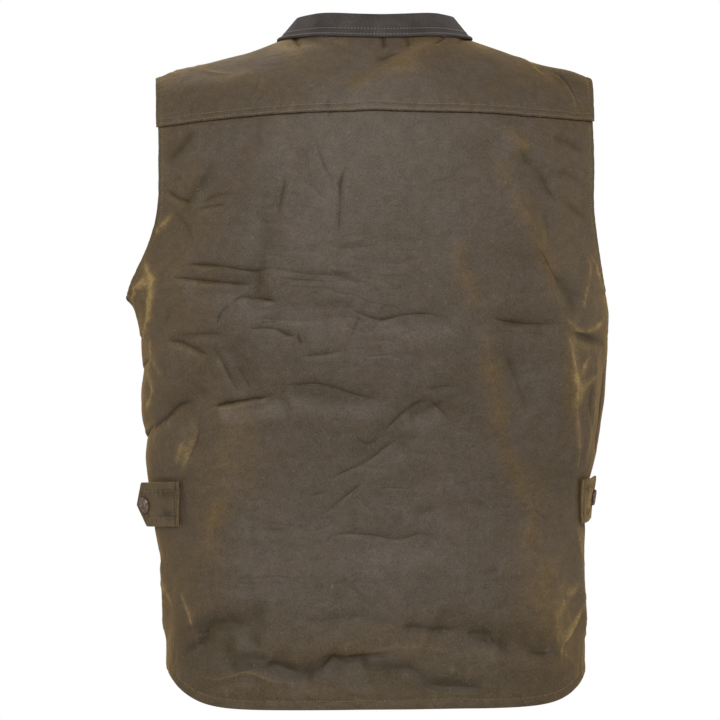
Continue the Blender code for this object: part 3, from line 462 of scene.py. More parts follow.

# Patches, on the back as the eye sees it, of wear and painted tilt shading in golden brown, of gold
# for rubbed wax and painted sheen, and of painted shade and shadow (round the tabs, under the
# collar, in hollows): millimetres from its middle and up, half width, half height, turn in degrees,
# and share. The front has the same ones, as if it were turned round
PATCHES = {
    "wear_and_tilt_shade": (
        (155, 265, 34, 58, 0, 0.6), (198, 110, 20, 62, -12, 0.6), (-165, 95, 30, 65, -10, 0.75),
        (-150, 190, 13, 60, 8, 0.45), (-188, 60, 11, 60, 0, 0.8), (-187, 340, 7, 45, 0, 0.9),
        (-203, 330, 6, 60, 0, 0.7), (160, 632, 70, 12, 8, 0.5), (-165, 640, 52, 14, -10, 0.5),
        (95, 654, 46, 13, 18, 0.85), (-70, 660, 22, 9, 0, 0.55), (195, 500, 22, 45, 0, 0.35),
        (205, 400, 22, 60, 0, 0.35), (-190, 490, 16, 70, 5, 0.4), (0, 55, 190, 34, 0, 0.85),
        (0, 10, 230, 16, 0, 1),
    ),
    "ridge": (
        (-182, 80, 9, 50, -8, 0.5), (-192, 345, 5, 42, 0, 0.5), (-156, 104, 16, 24, -20, 0.2),
        (-198, 160, 5, 40, 0, 0.2), (-212, 420, 5, 40, 0, 0.16), (196, 268, 8, 30, -18, 0.15),
        (222, 130, 6, 34, 10, 0.2), (196, 98, 6, 24, -20, 0.14), (158, 258, 16, 46, 10, 0.11),
        (170, 165, 12, 50, -15, 0.11), (241, 400, 6, 70, 0, 0.2), (-68, 40, 2.6, 2.6, 0, 0.45),
        (103, 663, 14, 7, 20, 0.62), (86, 661.5, 20, 3, -6, 0.55), (48, 668, 14, 3.4, 8, 0.36),
        (192, 643, 32, 3.4, -14, 0.6), (-142, 648, 20, 3.4, 22, 0.55), (-92, 664, 12, 5, 25, 0.45),
        (-14, 645, 24, 7, 32, 0.2), (-108, 34, 20, 3, 6, 0.16), (112, 52, 24, 4, 0, 0.14),
        (150, 22, 30, 3, -4, 0.18), (-20, 62, 30, 4, 0, 0.1), (218, 628, 14, 12, 0, 0.2),
        (205, 40, 7, 16, -20, 0.24), (186, 12, 26, 4, -14, 0.2), (-85, 38, 2.2, 2.2, 0, 0.4),
        (-72, 57, 5, 2, 0, 0.28), (28, 60, 7, 2, 0, 0.22), (150, 632, 24, 3, -20, 0.24),
    ),
    "trough": (
        (122, 470, 9, 66, 4, 0.7), (195, 342, 30, 12, 0, 0.6), (142, 345, 20, 28, 0, 0.55),
        (200, 300, 15, 20, -35, 0.7), (174, 541, 52, 8, -56, 0.8), (205, 566, 22, 7, -49, 0.6),
        (152, 86, 48, 12, 4, 0.8), (178, 52, 34, 14, 0, 0.6), (105, 42, 42, 9, 6, 0.75),
        (22, 44, 45, 9, 0, 0.6), (-62, 27, 46, 10, 0, 0.85), (-100, 74, 40, 10, -14, 0.75),
        (-155, 62, 26, 9, 0, 0.7), (-30, 84, 34, 8, 0, 0.5), (40, 120, 44, 9, 4, 0.4),
        (-128, 125, 22, 14, -40, 0.5), (-148, 480, 14, 50, 14, 0.4), (-202, 480, 8, 60, 4, 0.35),
        (-178, 300, 18, 30, 0, 0.45), (0, 651, 26, 8, 30, 0.45), (221, 230.5, 20, 2.2, 0, 1.9),
        (201.5, 210, 2.3, 20, -4, 1.9), (220, 188, 18, 2.6, 0, 1.4), (-199, 231, 9, 2.6, 0, 1.9),
        (-193, 206, 2.3, 22, 0, 1.5), (5, 656, 13, 2.4, -32, 1.2), (172, 72, 25, 14, 24, 0.6),
        (170, 31, 16, 6, 0, 0.6), (139, 41, 14, 5, -8, 0.65), (93, 32, 17, 6, 0, 0.65),
        (63, 47, 16, 7, 10, 0.6), (37, 34, 13, 9, 0, 0.5), (-5, 42, 13, 6, 0, 0.65),
        (-60, 81, 17, 5, 0, 0.6), (-90, 68, 17, 9, -35, 0.6), (-117, 63, 13, 8, 0, 0.55),
        (-160, 56, 17, 5, 0, 0.55), (-128, 37, 15, 5, 0, 0.45), (-172, 634, 24, 7, 15, 0.8),
        (145, 590, 30, 7, -30, 0.4),
    ),
}

# Small wrinkles all over: the size of the net that they make, how long they are for their
# height, and how deep they are
WRINKLES = ((0.042, 1.6, 0.00062), (0.024, 1.9, 0.00042), (0.013, 1.6, 0.00018))
WRINKLE_POWER = 7
WRINKLE_SEED = 11
WRINKLE_PLACES = 3
WRINKLE_PLACE_SEED = 18

# Unevenness of the cloth all over: the size of the swells and how high they stand
SWELLS = ((0.055, 0.0009), (0.022, 0.00042), (0.009, 0.00016))
SWELL_SEED = 5
SWELL_CELLS = 16
SWELL_OFFSET = 100.0

# Nets
COARSE = 3
BACK_COLUMNS = 270
BODY_ROWS = 189
ARMHOLE_ROWS = 84
ARMHOLE_ROW_POWER = 1.4
LAP_ROWS = 6
YOKE_NECK_COLUMNS = 42
YOKE_ARM_COLUMNS = 66
YOKE_BACK_ROWS = 84
YOKE_FRONT_ROWS = 30
PLACKET_COLUMNS = 15
FRONT_NECK_COLUMNS = 48
FRONT_STRIP_COLUMNS = 66
FRONT_NET_ROUNDS = 2
COLLAR_COLUMNS = 420
TAB_COLUMNS = 72
TAB_ROWS = 42
ARC_SAMPLES = 240
RIM_SWELL = 0.35
RIM_ANGLE = math.radians(48)

# Places where other pieces lie on the cloth
TAB_QUIET = 0.014
SNAP_QUIET = 0.013
NECK_QUIET = 0.011
NECK_QUIET_SPOTS = 90
TAB_QUIET_SPOTS = 5
QUIET_POWER = 4

# Sewing
INSET_STEPS = 10
INSET_EDGE = 0.9999
INSET_ACROSS = 0.03
INSET_UP = 0.006
EDGE_STEPS = 260
TURNED_RISE = 0.0004
TURNED_STEP = 0.0016
SEAM_RUB = 0.12
EDGE_RUB = 0.06
STITCH_PITCH = 0.0029
STITCH_LENGTH = 0.0016
STITCH_RADIUS = 0.00032
STITCH_SINK = 0.00012
STITCH_SIDES = 6

# Where a stitch's rings are along it, and their share of its radius
STITCH_RINGS = ((0.0, 0.35), (0.18, 0.95), (0.5, 1.0), (0.82, 0.95), (1.0, 0.35))
SEAM_DIP = 0.00035
SEAM_DIP_WIDTH = 0.0016
PUCKER_WIDTH = 0.006
PUCKER_HEIGHT = 0.00022
PUCKER_TURN = 1.7
PUCKER_WAVES = ((0.0047, 0.6), (0.0083, 0.8), (0.0151, 1.0))
HEM_STITCH = 0.008
ARMHOLE_STITCH = 0.006
YOKE_STITCHES = (0.0016, 0.0078)
COLLAR_FOOT_ROWS = 3
COLLAR_RISE_ROWS = 12
COLLAR_STITCH_ROWS = (1, 6)
COLLAR_STITCH_RADIUS = 0.00045
COLLAR_STITCH_PITCH = 0.0034
COLLAR_STITCH_LENGTH = 0.0018
COLLAR_WAVE = 0.0006
COLLAR_WAVE_SIZE = 0.045
PLACKET_STITCHES = (-0.0152, 0.0150)
TAB_STITCH = 0.0085
TAB_STITCH_START = 0.0030
TAB_LINE_STEPS = 24
TAB_SWELL = 0.0005
TAB_PUCKER = 0.0105
TAB_PUCKER_WIDTH = 0.0050
TAB_PUCKER_HEIGHT = 0.00065
TAB_PUCKER_TURN = 3.2
TAB_PUCKER_POWER = 3
TAB_PUCKER_SHARES = (0.4, 0.9)
TAB_END_LINE = 0.0028
TAB_END_WIDTH = 0.0011
TAB_END_DIP = 0.0006
# Painted shade along a tab's sewn end, in its stitch lines and in patches, a painted highlight on
# its rim, gold of rubbed wax and painted sheen on its raised parts, and wear with painted tilt
# shading all over
TAB_END_SHADE = 2.2
TAB_EDGE_HIGHLIGHT = 0.22
TAB_SWELL_SIZE = 0.012
TAB_WEAR_AND_TILT_SHADE = 0.6
TAB_SEWN_SHADE = 1.6
TAB_PATCH = 0.9
TAB_PATCH_SIZE = 0.0095
TAB_RUB_AND_SHEEN = {"side_tab_left": 0.05, "side_tab_right": 0.54}

# Snaps: shares of the radius and the height, from the middle of the top to the underside
CAP_PROFILE = ((0.04, 0.66), (0.22, 0.65), (0.36, 0.58), (0.44, 0.44), (0.56, 0.42), (0.66, 0.54),
               (0.74, 0.84), (0.82, 0.98), (0.90, 0.97), (0.97, 0.78), (1.0, 0.50), (0.99, 0.20),
               (0.94, 0.0), (0.84, -0.06), (0.80, -0.42), (0.04, -0.42))
STUD_PROFILE = ((0.05, 0.0), (0.90, 0.0), (1.0, 0.3), (1.0, 0.8), (0.88, 1.0), (0.62, 1.0),
                (0.52, 0.75), (0.05, 0.75))
TURNED_SIDES = 48
TURNED_ANGLE = math.radians(50)

# Studio: the floor, and lamps with their names, places, sizes, powers and colours
FLOOR_SIZE = 10.4
FLOOR_HEIGHT = -1.45
FILL_STRENGTH = 0.13
LAMPS = (
    ("key", (0.15, 2.5, 1.15), (2.0, 1.6), 44.8, (1.0, 0.99, 1.0)),
    ("top", (0.0, 1.5, 2.2), (2.0, 1.0), 2.4, (1.0, 0.94, 0.84)),
    ("left_edge", (2.3, 0.1, 0.0), (0.5, 2.0), 7.0, (1.0, 0.94, 0.84)),
    ("right_edge", (-2.3, 0.1, 0.0), (0.5, 2.0), 7.0, (1.0, 0.94, 0.84)),
    ("far_side", (0.5, -1.9, 2.3), (1.8, 1.4), 14.0, (1.0, 0.98, 0.95)),
)

# Colours
WAX_DARK = (0.110, 0.079, 0.048)
WAX_LIGHT = (0.130, 0.097, 0.068)
WAX_BROWN = (0.112, 0.071, 0.032)
# Golden brown of worn wax and of painted tilt shading where the cloth turns away
WAX_WORN_AND_TILT_SHADE = (0.160, 0.103, 0.038)
# Gold of rubbed wax and of painted sheen and highlights on ridges and rims
WAX_RUBBED_AND_SHEEN_GOLD = (0.420, 0.280, 0.100)
# Dark brown of painted shade in troughs, creases and hollows
WAX_PAINTED_SHADE = (0.062, 0.039, 0.012)
LINT = (0.30, 0.24, 0.16)
SHEEN = (1.0, 0.66, 0.26)
COLLAR_DARK = (0.060, 0.053, 0.050)
COLLAR_BROWN = (0.104, 0.086, 0.074)
# Painted shade in the needle holes of the collar
NEEDLE_HOLE_SHADE = (0.018, 0.015, 0.014)
THREAD_TAN = (0.40, 0.29, 0.14)
THREAD_GREY = (0.42, 0.37, 0.31)
COPPER_BRIGHT = (0.46, 0.34, 0.30)
COPPER_DULL = (0.21, 0.155, 0.135)
FLOOR_PALE = (0.82, 0.82, 0.82)
WHITE = (1.0, 1.0, 1.0)

# Noise of the materials: the size of its lumps (metres) and its detail, the part of its range
# that is used, and the two values which that is stretched between
LUMPS = {
    "tone": (0.11, 3, 0.38, 0.62, 0.0, 1.0),
    "brown": (0.028, 4, 0.42, 0.68, 0.0, 0.5),
    # Unevenness of the wear and painted tilt shading, and of the painted shade
    "wear_and_shade_unevenness": (0.028, 4, 0.3, 0.65, 0.5, 1.1),
    "shade_unevenness": (0.028, 4, 0.3, 0.7, 0.32, 0.66),
    # Unevenness of the gold of rubbed wax and painted sheen, and of the painted highlight along a
    # ridge
    "rubbed": (0.006, 3, 0.25, 0.7, 0.35, 0.85),
    "lit": (0.006, 3, 0.25, 0.7, 0.25, 0.60),
    "patchy": (0.015, 3, 0.38, 0.60, 0.45, 1.4),
    "grain": (0.0015, 2, 0.3, 0.7, 0.68, 1.32),
    "mottle": (0.009, 3, 0.32, 0.68, 0.89, 1.11),
    "lint": (0.0023, 0, 0.80, 0.84, 0.0, 0.4),
    "dullness": (0.02, 3, 0.3, 0.7, 0.50, 0.60),
    "collar_tone": (0.022, 4, 0.35, 0.68, 0.0, 1.0),
    "collar_grain": (0.0014, 2, 0.3, 0.7, 0.68, 1.32),
    "thread": (0.004, 2, 0.3, 0.7, 0.75, 1.2),
    "aged": (0.0035, 4, 0.40, 0.62, 0.0, 1.0),
}
COPPER_ROUGHNESS = (0.38, 0.62)

# Painted shade in the finest creases, and along the bottom of a larger one
CRINKLE_SHADE = 0.12
CORE_SHADE = 0.46

# Fine relief of the materials: its height (metres) and its strength
CRINKLE_BUMP = (0.0007, 0.45)
CORE_BUMP = (0.0003, 1.0)
COTTON_BUMP = (0.0006, 0.34)
COTTON_WEAVE_BUMP = (0.00012, 0.5)
COLLAR_BUMP = (0.0005, 0.4)
COLLAR_WEAVE_BUMP = (0.00014, 0.6)
HOLE_BUMP = (-0.0004, 1.0)
TWIST_BUMP = (0.0001, 0.5)
COPPER_BUMP = (0.0001, 0.35)

# The lumps (their size and detail) under that relief, the threads' pitches, and how far the
# needle's holes spread along a row of stitches and across it, and how dark their painted shade is
COTTON_LUMPS = (0.0045, 3)
COLLAR_LUMPS = (0.0035, 3)
COPPER_LUMPS = (0.0009, 2)
WEAVE_PITCH = 0.0006
TWIST_SCALE = 260.0
HOLE_ALONG = (0.1, 0.7)
HOLE_ACROSS = (0.35, 0.7)
HOLE_SHADE = 0.8

# The finest creases: the size of each net and its turn, how it is squeezed, how wide its lines
# are in its own noise, and how far apart the places are where they show
CRINKLES = ((0.052, 0.12), (0.034, -0.65), (0.022, 0.3))
CRINKLE_STRETCH = (0.5, 0.5, 1.0)
CRINKLE_WIDTH = 0.085
CRINKLE_SPREAD = 0.05
CRINKLE_SHOWN = (0.42, 0.62)

# The materials that have been made, by name
LOOKS = {}


def curve(spots, values, at):
    """Reads a smooth curve through a row of values."""
    slopes = np.gradient(values, spots)
    at = np.clip(np.asarray(at, dtype=float), spots[0], spots[-1])
    low = np.clip(np.searchsorted(spots, at, side="right") - 1, 0, len(spots) - 2)
    span = spots[low + 1] - spots[low]
    share = (at - spots[low]) / span
    start = values[low] * (1 + 2 * share) * (1 - share) ** 2
    end = values[low + 1] * share ** 2 * (3 - 2 * share)
    leave = slopes[low] * span * share * (1 - share) ** 2
    arrive = slopes[low + 1] * span * share ** 2 * (share - 1)
    return start + end + leave + arrive


def read(names, table, column, at):
    """Reads one column of a table along a smooth curve through its rows."""
    spots = np.array([row[0] for row in table])
    values = np.array([row[names.index(column)] for row in table])
    return curve(spots, values, at)


def ease(share):
    """Goes smoothly from 0 to 1."""
    share = np.clip(share, 0.0, 1.0)
    return share * share * (3 - 2 * share)


def bell(far, width, power=2):
    """Falls smoothly from 1 to 0 as a distance outgrows a width."""
    return np.exp(-(far / width) ** power)


def walk_along(points, axis=0):
    """How far along its line each point lies, for lines that run along an axis of the points."""
    steps = np.diff(points, axis=axis, prepend=points.take([0], axis))
    return np.cumsum(np.linalg.norm(steps, axis=-1), axis=axis)


def unit(vectors):
    """Vectors of length 1, with the same directions."""
    return vectors / np.linalg.norm(vectors, axis=-1, keepdims=True)


def section(column, height):
    """One size of the torso at a height."""
    return read(SECTION, SECTIONS, column, height)


def dome_turn(path):
    """The angle that the cloth has turned over the shoulder, from the blades to the ridge."""
    return np.clip((path - BLADE_HEIGHT) / DOME_RUN, 0.0, 1.0) * math.pi / 2


def reach(face, side, path):
    """Half width of the cloth at a path, to the armhole or the side seam."""
    height = np.minimum(path, BLADE_HEIGHT)
    edge = np.where(side >= 0, section("left", height), section("right", height))
    edge = edge - np.where(face > 0, 0.0, section("front_inset", height))
    tip = np.where(side >= 0, TIP_LEFT, TIP_RIGHT)
    return edge + (tip - edge) * (1 - np.cos(dome_turn(path)))


def ridge_height(from_centre):
    """Height of the shoulder ridge."""
    far = np.abs(from_centre)
    far = np.where(far < RIDGE_ROUND, far ** 2 / (2 * RIDGE_ROUND) + RIDGE_ROUND / 2, far)
    share = ease(0.5 + np.asarray(from_centre) / (2 * RIDGE_ROUND))
    left, right = (read(RIDGE, RIDGE_LINE, side, far) for side in ("left", "right"))
    return right + (left - right) * share


def form(face, across, path):
    """Points of the outer face of the cloth, before its folds."""
    height = np.minimum(path, BLADE_HEIGHT)
    width = reach(face, across, height)
    depth = np.where(face > 0, section("back", height), section("front", height))
    edge = np.where(face > 0, section("back_edge", height), section("front_edge", height))
    edge = np.maximum(edge, SIDE_GAP / 2)
    power = section("square", height)
    widest = width / (1 - (edge / depth) ** power) ** (1 / power)
    inside = np.clip(1 - np.abs(across * width / widest) ** power, 0.0, 1.0)
    turn = dome_turn(path)
    point = np.where(across > 0, section("left_point", height), 0.0)
    x = across * reach(face, across, path) + point * np.abs(across) ** UNDERARM_POWER
    y = face * depth * inside ** (1 / power) * np.cos(turn)
    z = height + (ridge_height(x) - BLADE_HEIGHT) * np.sin(turn)
    return np.stack([x, y, z], axis=-1)


def outward(face, across, path):
    """The direction straight out of the cloth at each place."""
    left = np.clip(across + SLOPE_STEP, -1.0, 1.0)
    right = np.clip(across - SLOPE_STEP, -1.0, 1.0)
    sideways = form(face, left, path) - form(face, right, path)
    high = np.minimum(path + SLOPE_STEP, RIDGE_PATH)
    low = high - 2 * SLOPE_STEP
    upward = form(face, across, high) - form(face, across, low)
    return unit(np.cross(upward, sideways) * np.asarray(face, dtype=float)[..., None])


def path_at(from_centre, height):
    """The path at which the cloth reaches a height."""
    share = (height - BLADE_HEIGHT) / (ridge_height(from_centre) - BLADE_HEIGHT)
    share = np.clip(share, 0.0, 1.0)
    over = BLADE_HEIGHT + DOME_RUN * np.arcsin(share) / (math.pi / 2)
    return np.where(height <= BLADE_HEIGHT, height, over)


def places_on(face_name, places, heights):
    """Face, across and path of places on the back, the back as it is seen, the front or a side."""
    if face_name == "seen":
        return seen_places(np.stack([places, heights], axis=-1))
    if face_name in ("back", "front"):
        face = np.full(places.shape, 1.0 if face_name == "back" else -1.0)
        path = path_at(places, heights)
        return face, np.clip(places / reach(face, places, path), -1.0, 1.0), path
    side = 1.0 if face_name == "left" else -1.0
    face = np.where(places >= 0, 1.0, -1.0)
    depth = np.where(face > 0, section("back", heights), section("front", heights))
    power = section("square", heights)
    return face, side * (1 - np.abs(places / depth) ** power) ** (1 / power), heights


@cache
def fold_lines():
    """Each fold's points on the cloth, its half width and its lift."""
    lines = []
    share = np.linspace(0.0, 1.0, FOLD_STEPS)
    for face_name, folds in FOLDS.items():
        for place_1, height_1, place_2, height_2, bow, width, rise in np.array(folds) / MM_IN_METRE:
            run = np.array([place_2 - place_1, height_2 - height_1])
            run = run / np.linalg.norm(run)
            bulge = 4 * share * (1 - share) * bow
            places = place_1 + (place_2 - place_1) * share - run[1] * bulge
            heights = height_1 + (height_2 - height_1) * share + run[0] * bulge
            lines.append((form(*places_on(face_name, places, heights)), width, rise))
    return lines


def close_by(points, line, limit):
    """Which points lie in the box round a line, let out by a limit."""
    inside = (points > line.min(axis=0) - limit) & (points < line.max(axis=0) + limit)
    return np.nonzero(inside.all(axis=-1))[0]


def fold_lift(points):
    """How far the folds lift each point of the cloth, less near a fold's ends."""
    flat = points.reshape(-1, 3)
    lift = np.zeros(len(flat))
    share = np.linspace(0.0, 1.0, FOLD_STEPS)
    strength = ease(FOLD_TAPER * np.minimum(share, 1 - share) + FOLD_END)
    for line, width, rise in fold_lines():
        pick = close_by(flat, line, FOLD_REACH * width)
        if len(pick):
            far = np.linalg.norm(flat[pick][:, None, :] - line, axis=-1)
            taper = strength[np.argmin(far, axis=-1)]
            lift[pick] += rise * taper * bell(np.min(far, axis=-1), width)
    return lift.reshape(points.shape[:-1])


def seat_lift(points):
    """How far the cloth is pulled out to meet the snaps of the side tabs."""
    lift = np.zeros(points.shape[:-1])
    for tab in TABS.values():
        seat, stand_off, fold = tab_seat(tab)
        pull = stand_off - STUD_HEIGHT - GAP - SEAT_CLEARANCE - fold
        lift += pull * bell(np.linalg.norm(points - seat, axis=-1), SEAT_WIDTH, 4)
    return lift


def seen(points):
    """Where the eye sees points of the back: left of its middle, and up from the hem."""
    gap = points - LOOK_AT
    near = BACK_FAR / (EYE_FAR - gap @ EYE_BACK)
    return np.stack([gap @ EYE_LEFT * near + SEEN_MIDDLE, gap @ EYE_UP * near + SEEN_HEM], axis=-1)


def seen_places(wanted):
    """Across and path of the places of the back that the eye sees at the wanted spots."""
    face = np.ones(len(wanted))
    left, up = wanted.T
    across = np.clip(left / reach(face, left, up), -SEEK_START, SEEK_START)
    path = path_at(left, up)
    for _ in range(SEEK_STEPS):
        now = seen(form(face, across, path))
        by_across = (seen(form(face, across - SLOPE_STEP, path)) - now) / -SLOPE_STEP
        by_path = (seen(form(face, across, path - SLOPE_STEP)) - now) / -SLOPE_STEP
        miss = wanted - now
        area = by_across[:, 0] * by_path[:, 1] - by_across[:, 1] * by_path[:, 0]
        area = np.where(np.abs(area) < SEEK_LEAST, SEEK_LEAST, area)
        step_across = (miss[:, 0] * by_path[:, 1] - miss[:, 1] * by_path[:, 0]) / area
        step_up = (by_across[:, 0] * miss[:, 1] - by_across[:, 1] * miss[:, 0]) / area
        across = across + np.clip(step_across, -SEEK_ACROSS, SEEK_ACROSS)
        across = np.clip(across, -SEEK_END, SEEK_END)
        path = path + np.clip(step_up, -SEEK_UP, SEEK_UP)
        path = np.clip(path, SEEK_MARGIN, RIDGE_PATH - SEEK_MARGIN)
    return face, across, path


@cache
def crease_lines():
    """Each crease's points on the cloth, directions out of it, width, height and lip."""
    lines = []
    for face_name, creases in CREASES.items():
        for width, height, lip, *corners in creases:
            corners = np.array(corners, dtype=float).reshape(-1, 2) * MM
            walk = walk_along(corners)
            steps = max(CREASE_LEAST_STEPS, int(walk[-1] / CREASE_STEP) + 1)
            at = np.linspace(0.0, walk[-1], steps)
            place = places_on(face_name, *(curve(walk, part, at) for part in corners.T))
            base, normal = form(*place), outward(*place)
            base = base + normal * fold_lift(base)[:, None]
            lines.append((base, normal, width * MM, height * MM, lip * MM))
    return lines


def nearest(points, line, normals):
    """Distance of points from a line (less than nothing on its other side), how far along it
    they are, its length, and the way to the side there."""
    step = np.diff(line, axis=0)
    gap = points[:, None, :] - line[:-1]
    share = np.clip(np.sum(gap * step, axis=-1) / np.sum(step ** 2, axis=-1), 0.0, 1.0)
    away = gap - share[..., None] * step
    far = np.linalg.norm(away, axis=-1)
    best = np.argmin(far, axis=1)
    rows = np.arange(len(points))
    aside = unit(np.cross(unit(step), normals[:-1]))[best]
    side = np.sign(np.sum(away[rows, best] * aside, axis=-1))
    walk = walk_along(line)
    along = walk[best] + share[rows, best] * (walk[best + 1] - walk[best])
    return far[rows, best] * side, along, walk[-1], aside


def crease_lift(points, normals):
    """How far the creases lift each point, how far the point moves along the cloth so that the
    net is closer where a crease is sharp, and the paints: gold of rubbed wax and painted sheen on
    ridges, golden brown painted tilt shading on broad ones, and painted shade in troughs."""
    flat, out = points.reshape(-1, 3), normals.reshape(-1, 3)
    lift, most, shift = np.zeros(len(flat)), np.zeros(len(flat)), np.zeros(flat.shape)
    paints = {name: np.zeros(len(flat)) for name in ("ridge", "trough", "wear_and_tilt_shade", "aside", "crease_line_light_and_shade")}
    for number, (line, line_out, width, height, lip) in enumerate(crease_lines()):
        pick = close_by(flat, line, CREASE_REACH * width * (LIP_REACH if lip else 1.0))
        if not len(pick):
            continue
        side, along, length, aside = nearest(flat[pick], line, line_out)
        facing = np.clip(np.sum(out[pick] * line_out.mean(axis=0), axis=-1), 0.0, 1.0)
        ends = ease(np.minimum(along, length - along) / (CREASE_TAPER * length)) ** CREASE_END_POWER
        wide = width * (CREASE_END_WIDTH + (1 - CREASE_END_WIDTH) * ends)
        pull = -DRAW_IN * ends * side * bell(side, DRAW_REACH * width)
        shift[pick] += pull[:, None] * aside
        side = side + pull
        waves = (size * np.sin(along / run + turn * number) for size, run, turn in CREASE_WAVES)
        uneven = sum(waves, 1)
        amount = ends * uneven * np.sqrt(facing)
        main = bell(np.abs(side), wide, CREASE_POWER) * amount
        edge = bell(side - LIP_OUT * wide, LIP_WIDTH * wide) * amount
        lift[pick] += main * height + edge * lip
        # Gold on raised creases: rubbed wax, with painted sheen growing towards the sides; broad
        # raised creases are painted golden brown instead, as painted tilt shading
        rub_and_sheen = np.interp(np.abs(flat[pick, 0]), RUB_AND_SHEEN_PLACES, RUB_AND_SHEEN_SHARES)
        rub_and_sheen = np.maximum(rub_and_sheen, np.interp(flat[pick, 2], HEM_RUB_PLACES, HEM_RUB_SHARES)) / MM
        if width > BROAD * MM and height > 0:
            paints["wear_and_tilt_shade"][pick] += main * BROAD_TILT_SHADE
            rub_and_sheen = 0.0
        # The fine line along a crease, painted later as a gold highlight on a ridge and as shade in
        # a trough
        sharp = amount * height * min(CORE_CREASE * MM / width, 1.0) ** 2
        sharp = sharp * bell(side, CORE_GATE * width, 4)
        chosen = np.abs(sharp) > most[pick]
        first = pick[chosen]
        most[first] = np.abs(sharp[chosen])
        paints["aside"][first] = side[chosen] / MM
        paints["crease_line_light_and_shade"][first] = (sharp * np.where(height > 0, rub_and_sheen, 1 / MM))[chosen]
        # Gold of rubbed wax and painted sheen on ridges and lips, and painted shade in troughs
        paints["ridge"][pick] += (main * max(height, 0.0) + edge * max(lip, 0.0)) * rub_and_sheen
        paints["trough"][pick] += main * max(-height, 0.0) / MM
    shape = points.shape[:-1]
    paints = {name: values.reshape(shape) for name, values in paints.items()}
    return lift.reshape(shape), shift.reshape(points.shape), paints


def swell(points, size, seed):
    """Smooth unevenness between -1 and 1, with swells of a size."""
    cells = np.random.default_rng(seed).uniform(-1.0, 1.0, (SWELL_CELLS,) * 3)
    spot = points / size + SWELL_OFFSET
    low = np.floor(spot).astype(int)
    share = ease(spot - low)
    total = 0.0
    for corner in np.ndindex(2, 2, 2):
        index = (low + corner) % SWELL_CELLS
        weight = np.prod(np.where(np.array(corner) == 1, share, 1 - share), axis=-1)
        total = total + weight * cells[index[..., 0], index[..., 1], index[..., 2]]
    return total


@cache
def snap_spots():
    """Places under the front snaps, and how far round each the cloth stays flat."""
    heights = np.array(FRONT_SNAP_HEIGHTS)
    middle = np.zeros(heights.shape)
    return [(spot, SNAP_QUIET) for spot in form(middle - 1.0, middle, heights)]


@cache
def quiet_spots():
    """Places where pieces lie on the cloth, and how far round each the cloth stays smooth."""
    spots = list(snap_spots())
    for tab in TABS.values():
        levels = np.linspace(-0.5, 0.5, TAB_QUIET_SPOTS)
        spots += [(tab_foot(tab[0], tab[1], level)[0], TAB_QUIET) for level in levels]
        spots.append((tab_seat(tab)[0], TAB_QUIET))
    turns = np.linspace(-math.pi, math.pi, NECK_QUIET_SPOTS)
    return spots + [(spot, NECK_QUIET) for spot in form(*neck_node(turns))]


def loose(points, spots):
    """How freely the cloth may crease at each point, from 0 at the spots to 1."""
    flat = points.reshape(-1, 3)
    share = np.ones(len(flat))
    for spot, width in spots:
        pick = close_by(flat, spot[None], 2 * width)
        far = np.linalg.norm(flat[pick] - spot, axis=-1)
        share[pick] = np.minimum(share[pick], 1 - bell(far, width, QUIET_POWER))
    return share.reshape(points.shape[:-1])


def patches(face, points):
    """How much wear and painted tilt shading, gold of rubbed wax and painted sheen, and painted
    shade lie in patches at each point of the cloth.
    """
    spots = seen(points * np.stack([face, face, np.ones(face.shape)], axis=-1)) / MM
    paints = {kind: np.zeros(face.shape) for kind in PATCHES}
    for kind, rows in PATCHES.items():
        for left, up, wide, high, turn, share in rows:
            gap = spots - np.array([left, up])
            cos, sin = math.cos(math.radians(turn)), math.sin(math.radians(turn))
            along = (gap[..., 0] * cos + gap[..., 1] * sin) / wide
            aside = (gap[..., 1] * cos - gap[..., 0] * sin) / high
            paints[kind] += share * np.exp(-along ** 2 - aside ** 2)
    return paints


def relief(face, across, path, seams=None):
    """Points of the form, directions out of it, all that lifts the cloth there, and its paints of
    wear, painted sheen and painted shade.
    """
    face = np.broadcast_to(np.asarray(face, dtype=float), np.shape(across))
    base, normal = form(face, across, path), outward(face, across, path)
    broad = fold_lift(base) + seat_lift(base)
    fine, shift, paints = crease_lift(base + normal * broad[..., None], normal)
    for number, (size, height) in enumerate(SWELLS):
        fine = fine + height * swell(base, size, SWELL_SEED + number)
    for number, (size, stretch, depth) in enumerate(WRINKLES):
        squeezed = base * np.array([1 / stretch, 1 / stretch, 1.0])
        net = 1 - np.abs(swell(squeezed, size, WRINKLE_SEED + number))
        where = 0.5 + 0.5 * swell(base, WRINKLE_PLACES * size, WRINKLE_PLACE_SEED + number)
        fine = fine - depth * net ** WRINKLE_POWER * where
    free = loose(base, quiet_spots())
    lift = broad + fine * np.where(fine < 0, loose(base, snap_spots()), free)
    from_ridge = RIDGE_PATH - np.broadcast_to(path, base.shape[:-1])
    # Painted tilt shading towards the sides, darker towards the hem, painted patches, and painted
    # sheen along the shoulder ridge
    paints["wear_and_tilt_shade"] += np.interp(np.abs(base[..., 0]), SIDE_TILT_SHADE_PLACES, SIDE_TILT_SHADE_SHARES)
    paints["trough"] += np.interp(base[..., 2], HEM_PLACES, HEM_SHARES)
    for kind, share in patches(face, base).items():
        paints[kind] += share
    paints["ridge"] += SHOULDER_SHEEN * bell(from_ridge, SHOULDER_WIDTH)
    if seams:
        sewn, worn = seams.lift(base)
        lift = lift + sewn * free
        paints["wear_and_tilt_shade"] += worn
    return base + shift * free[..., None], normal, lift, paints


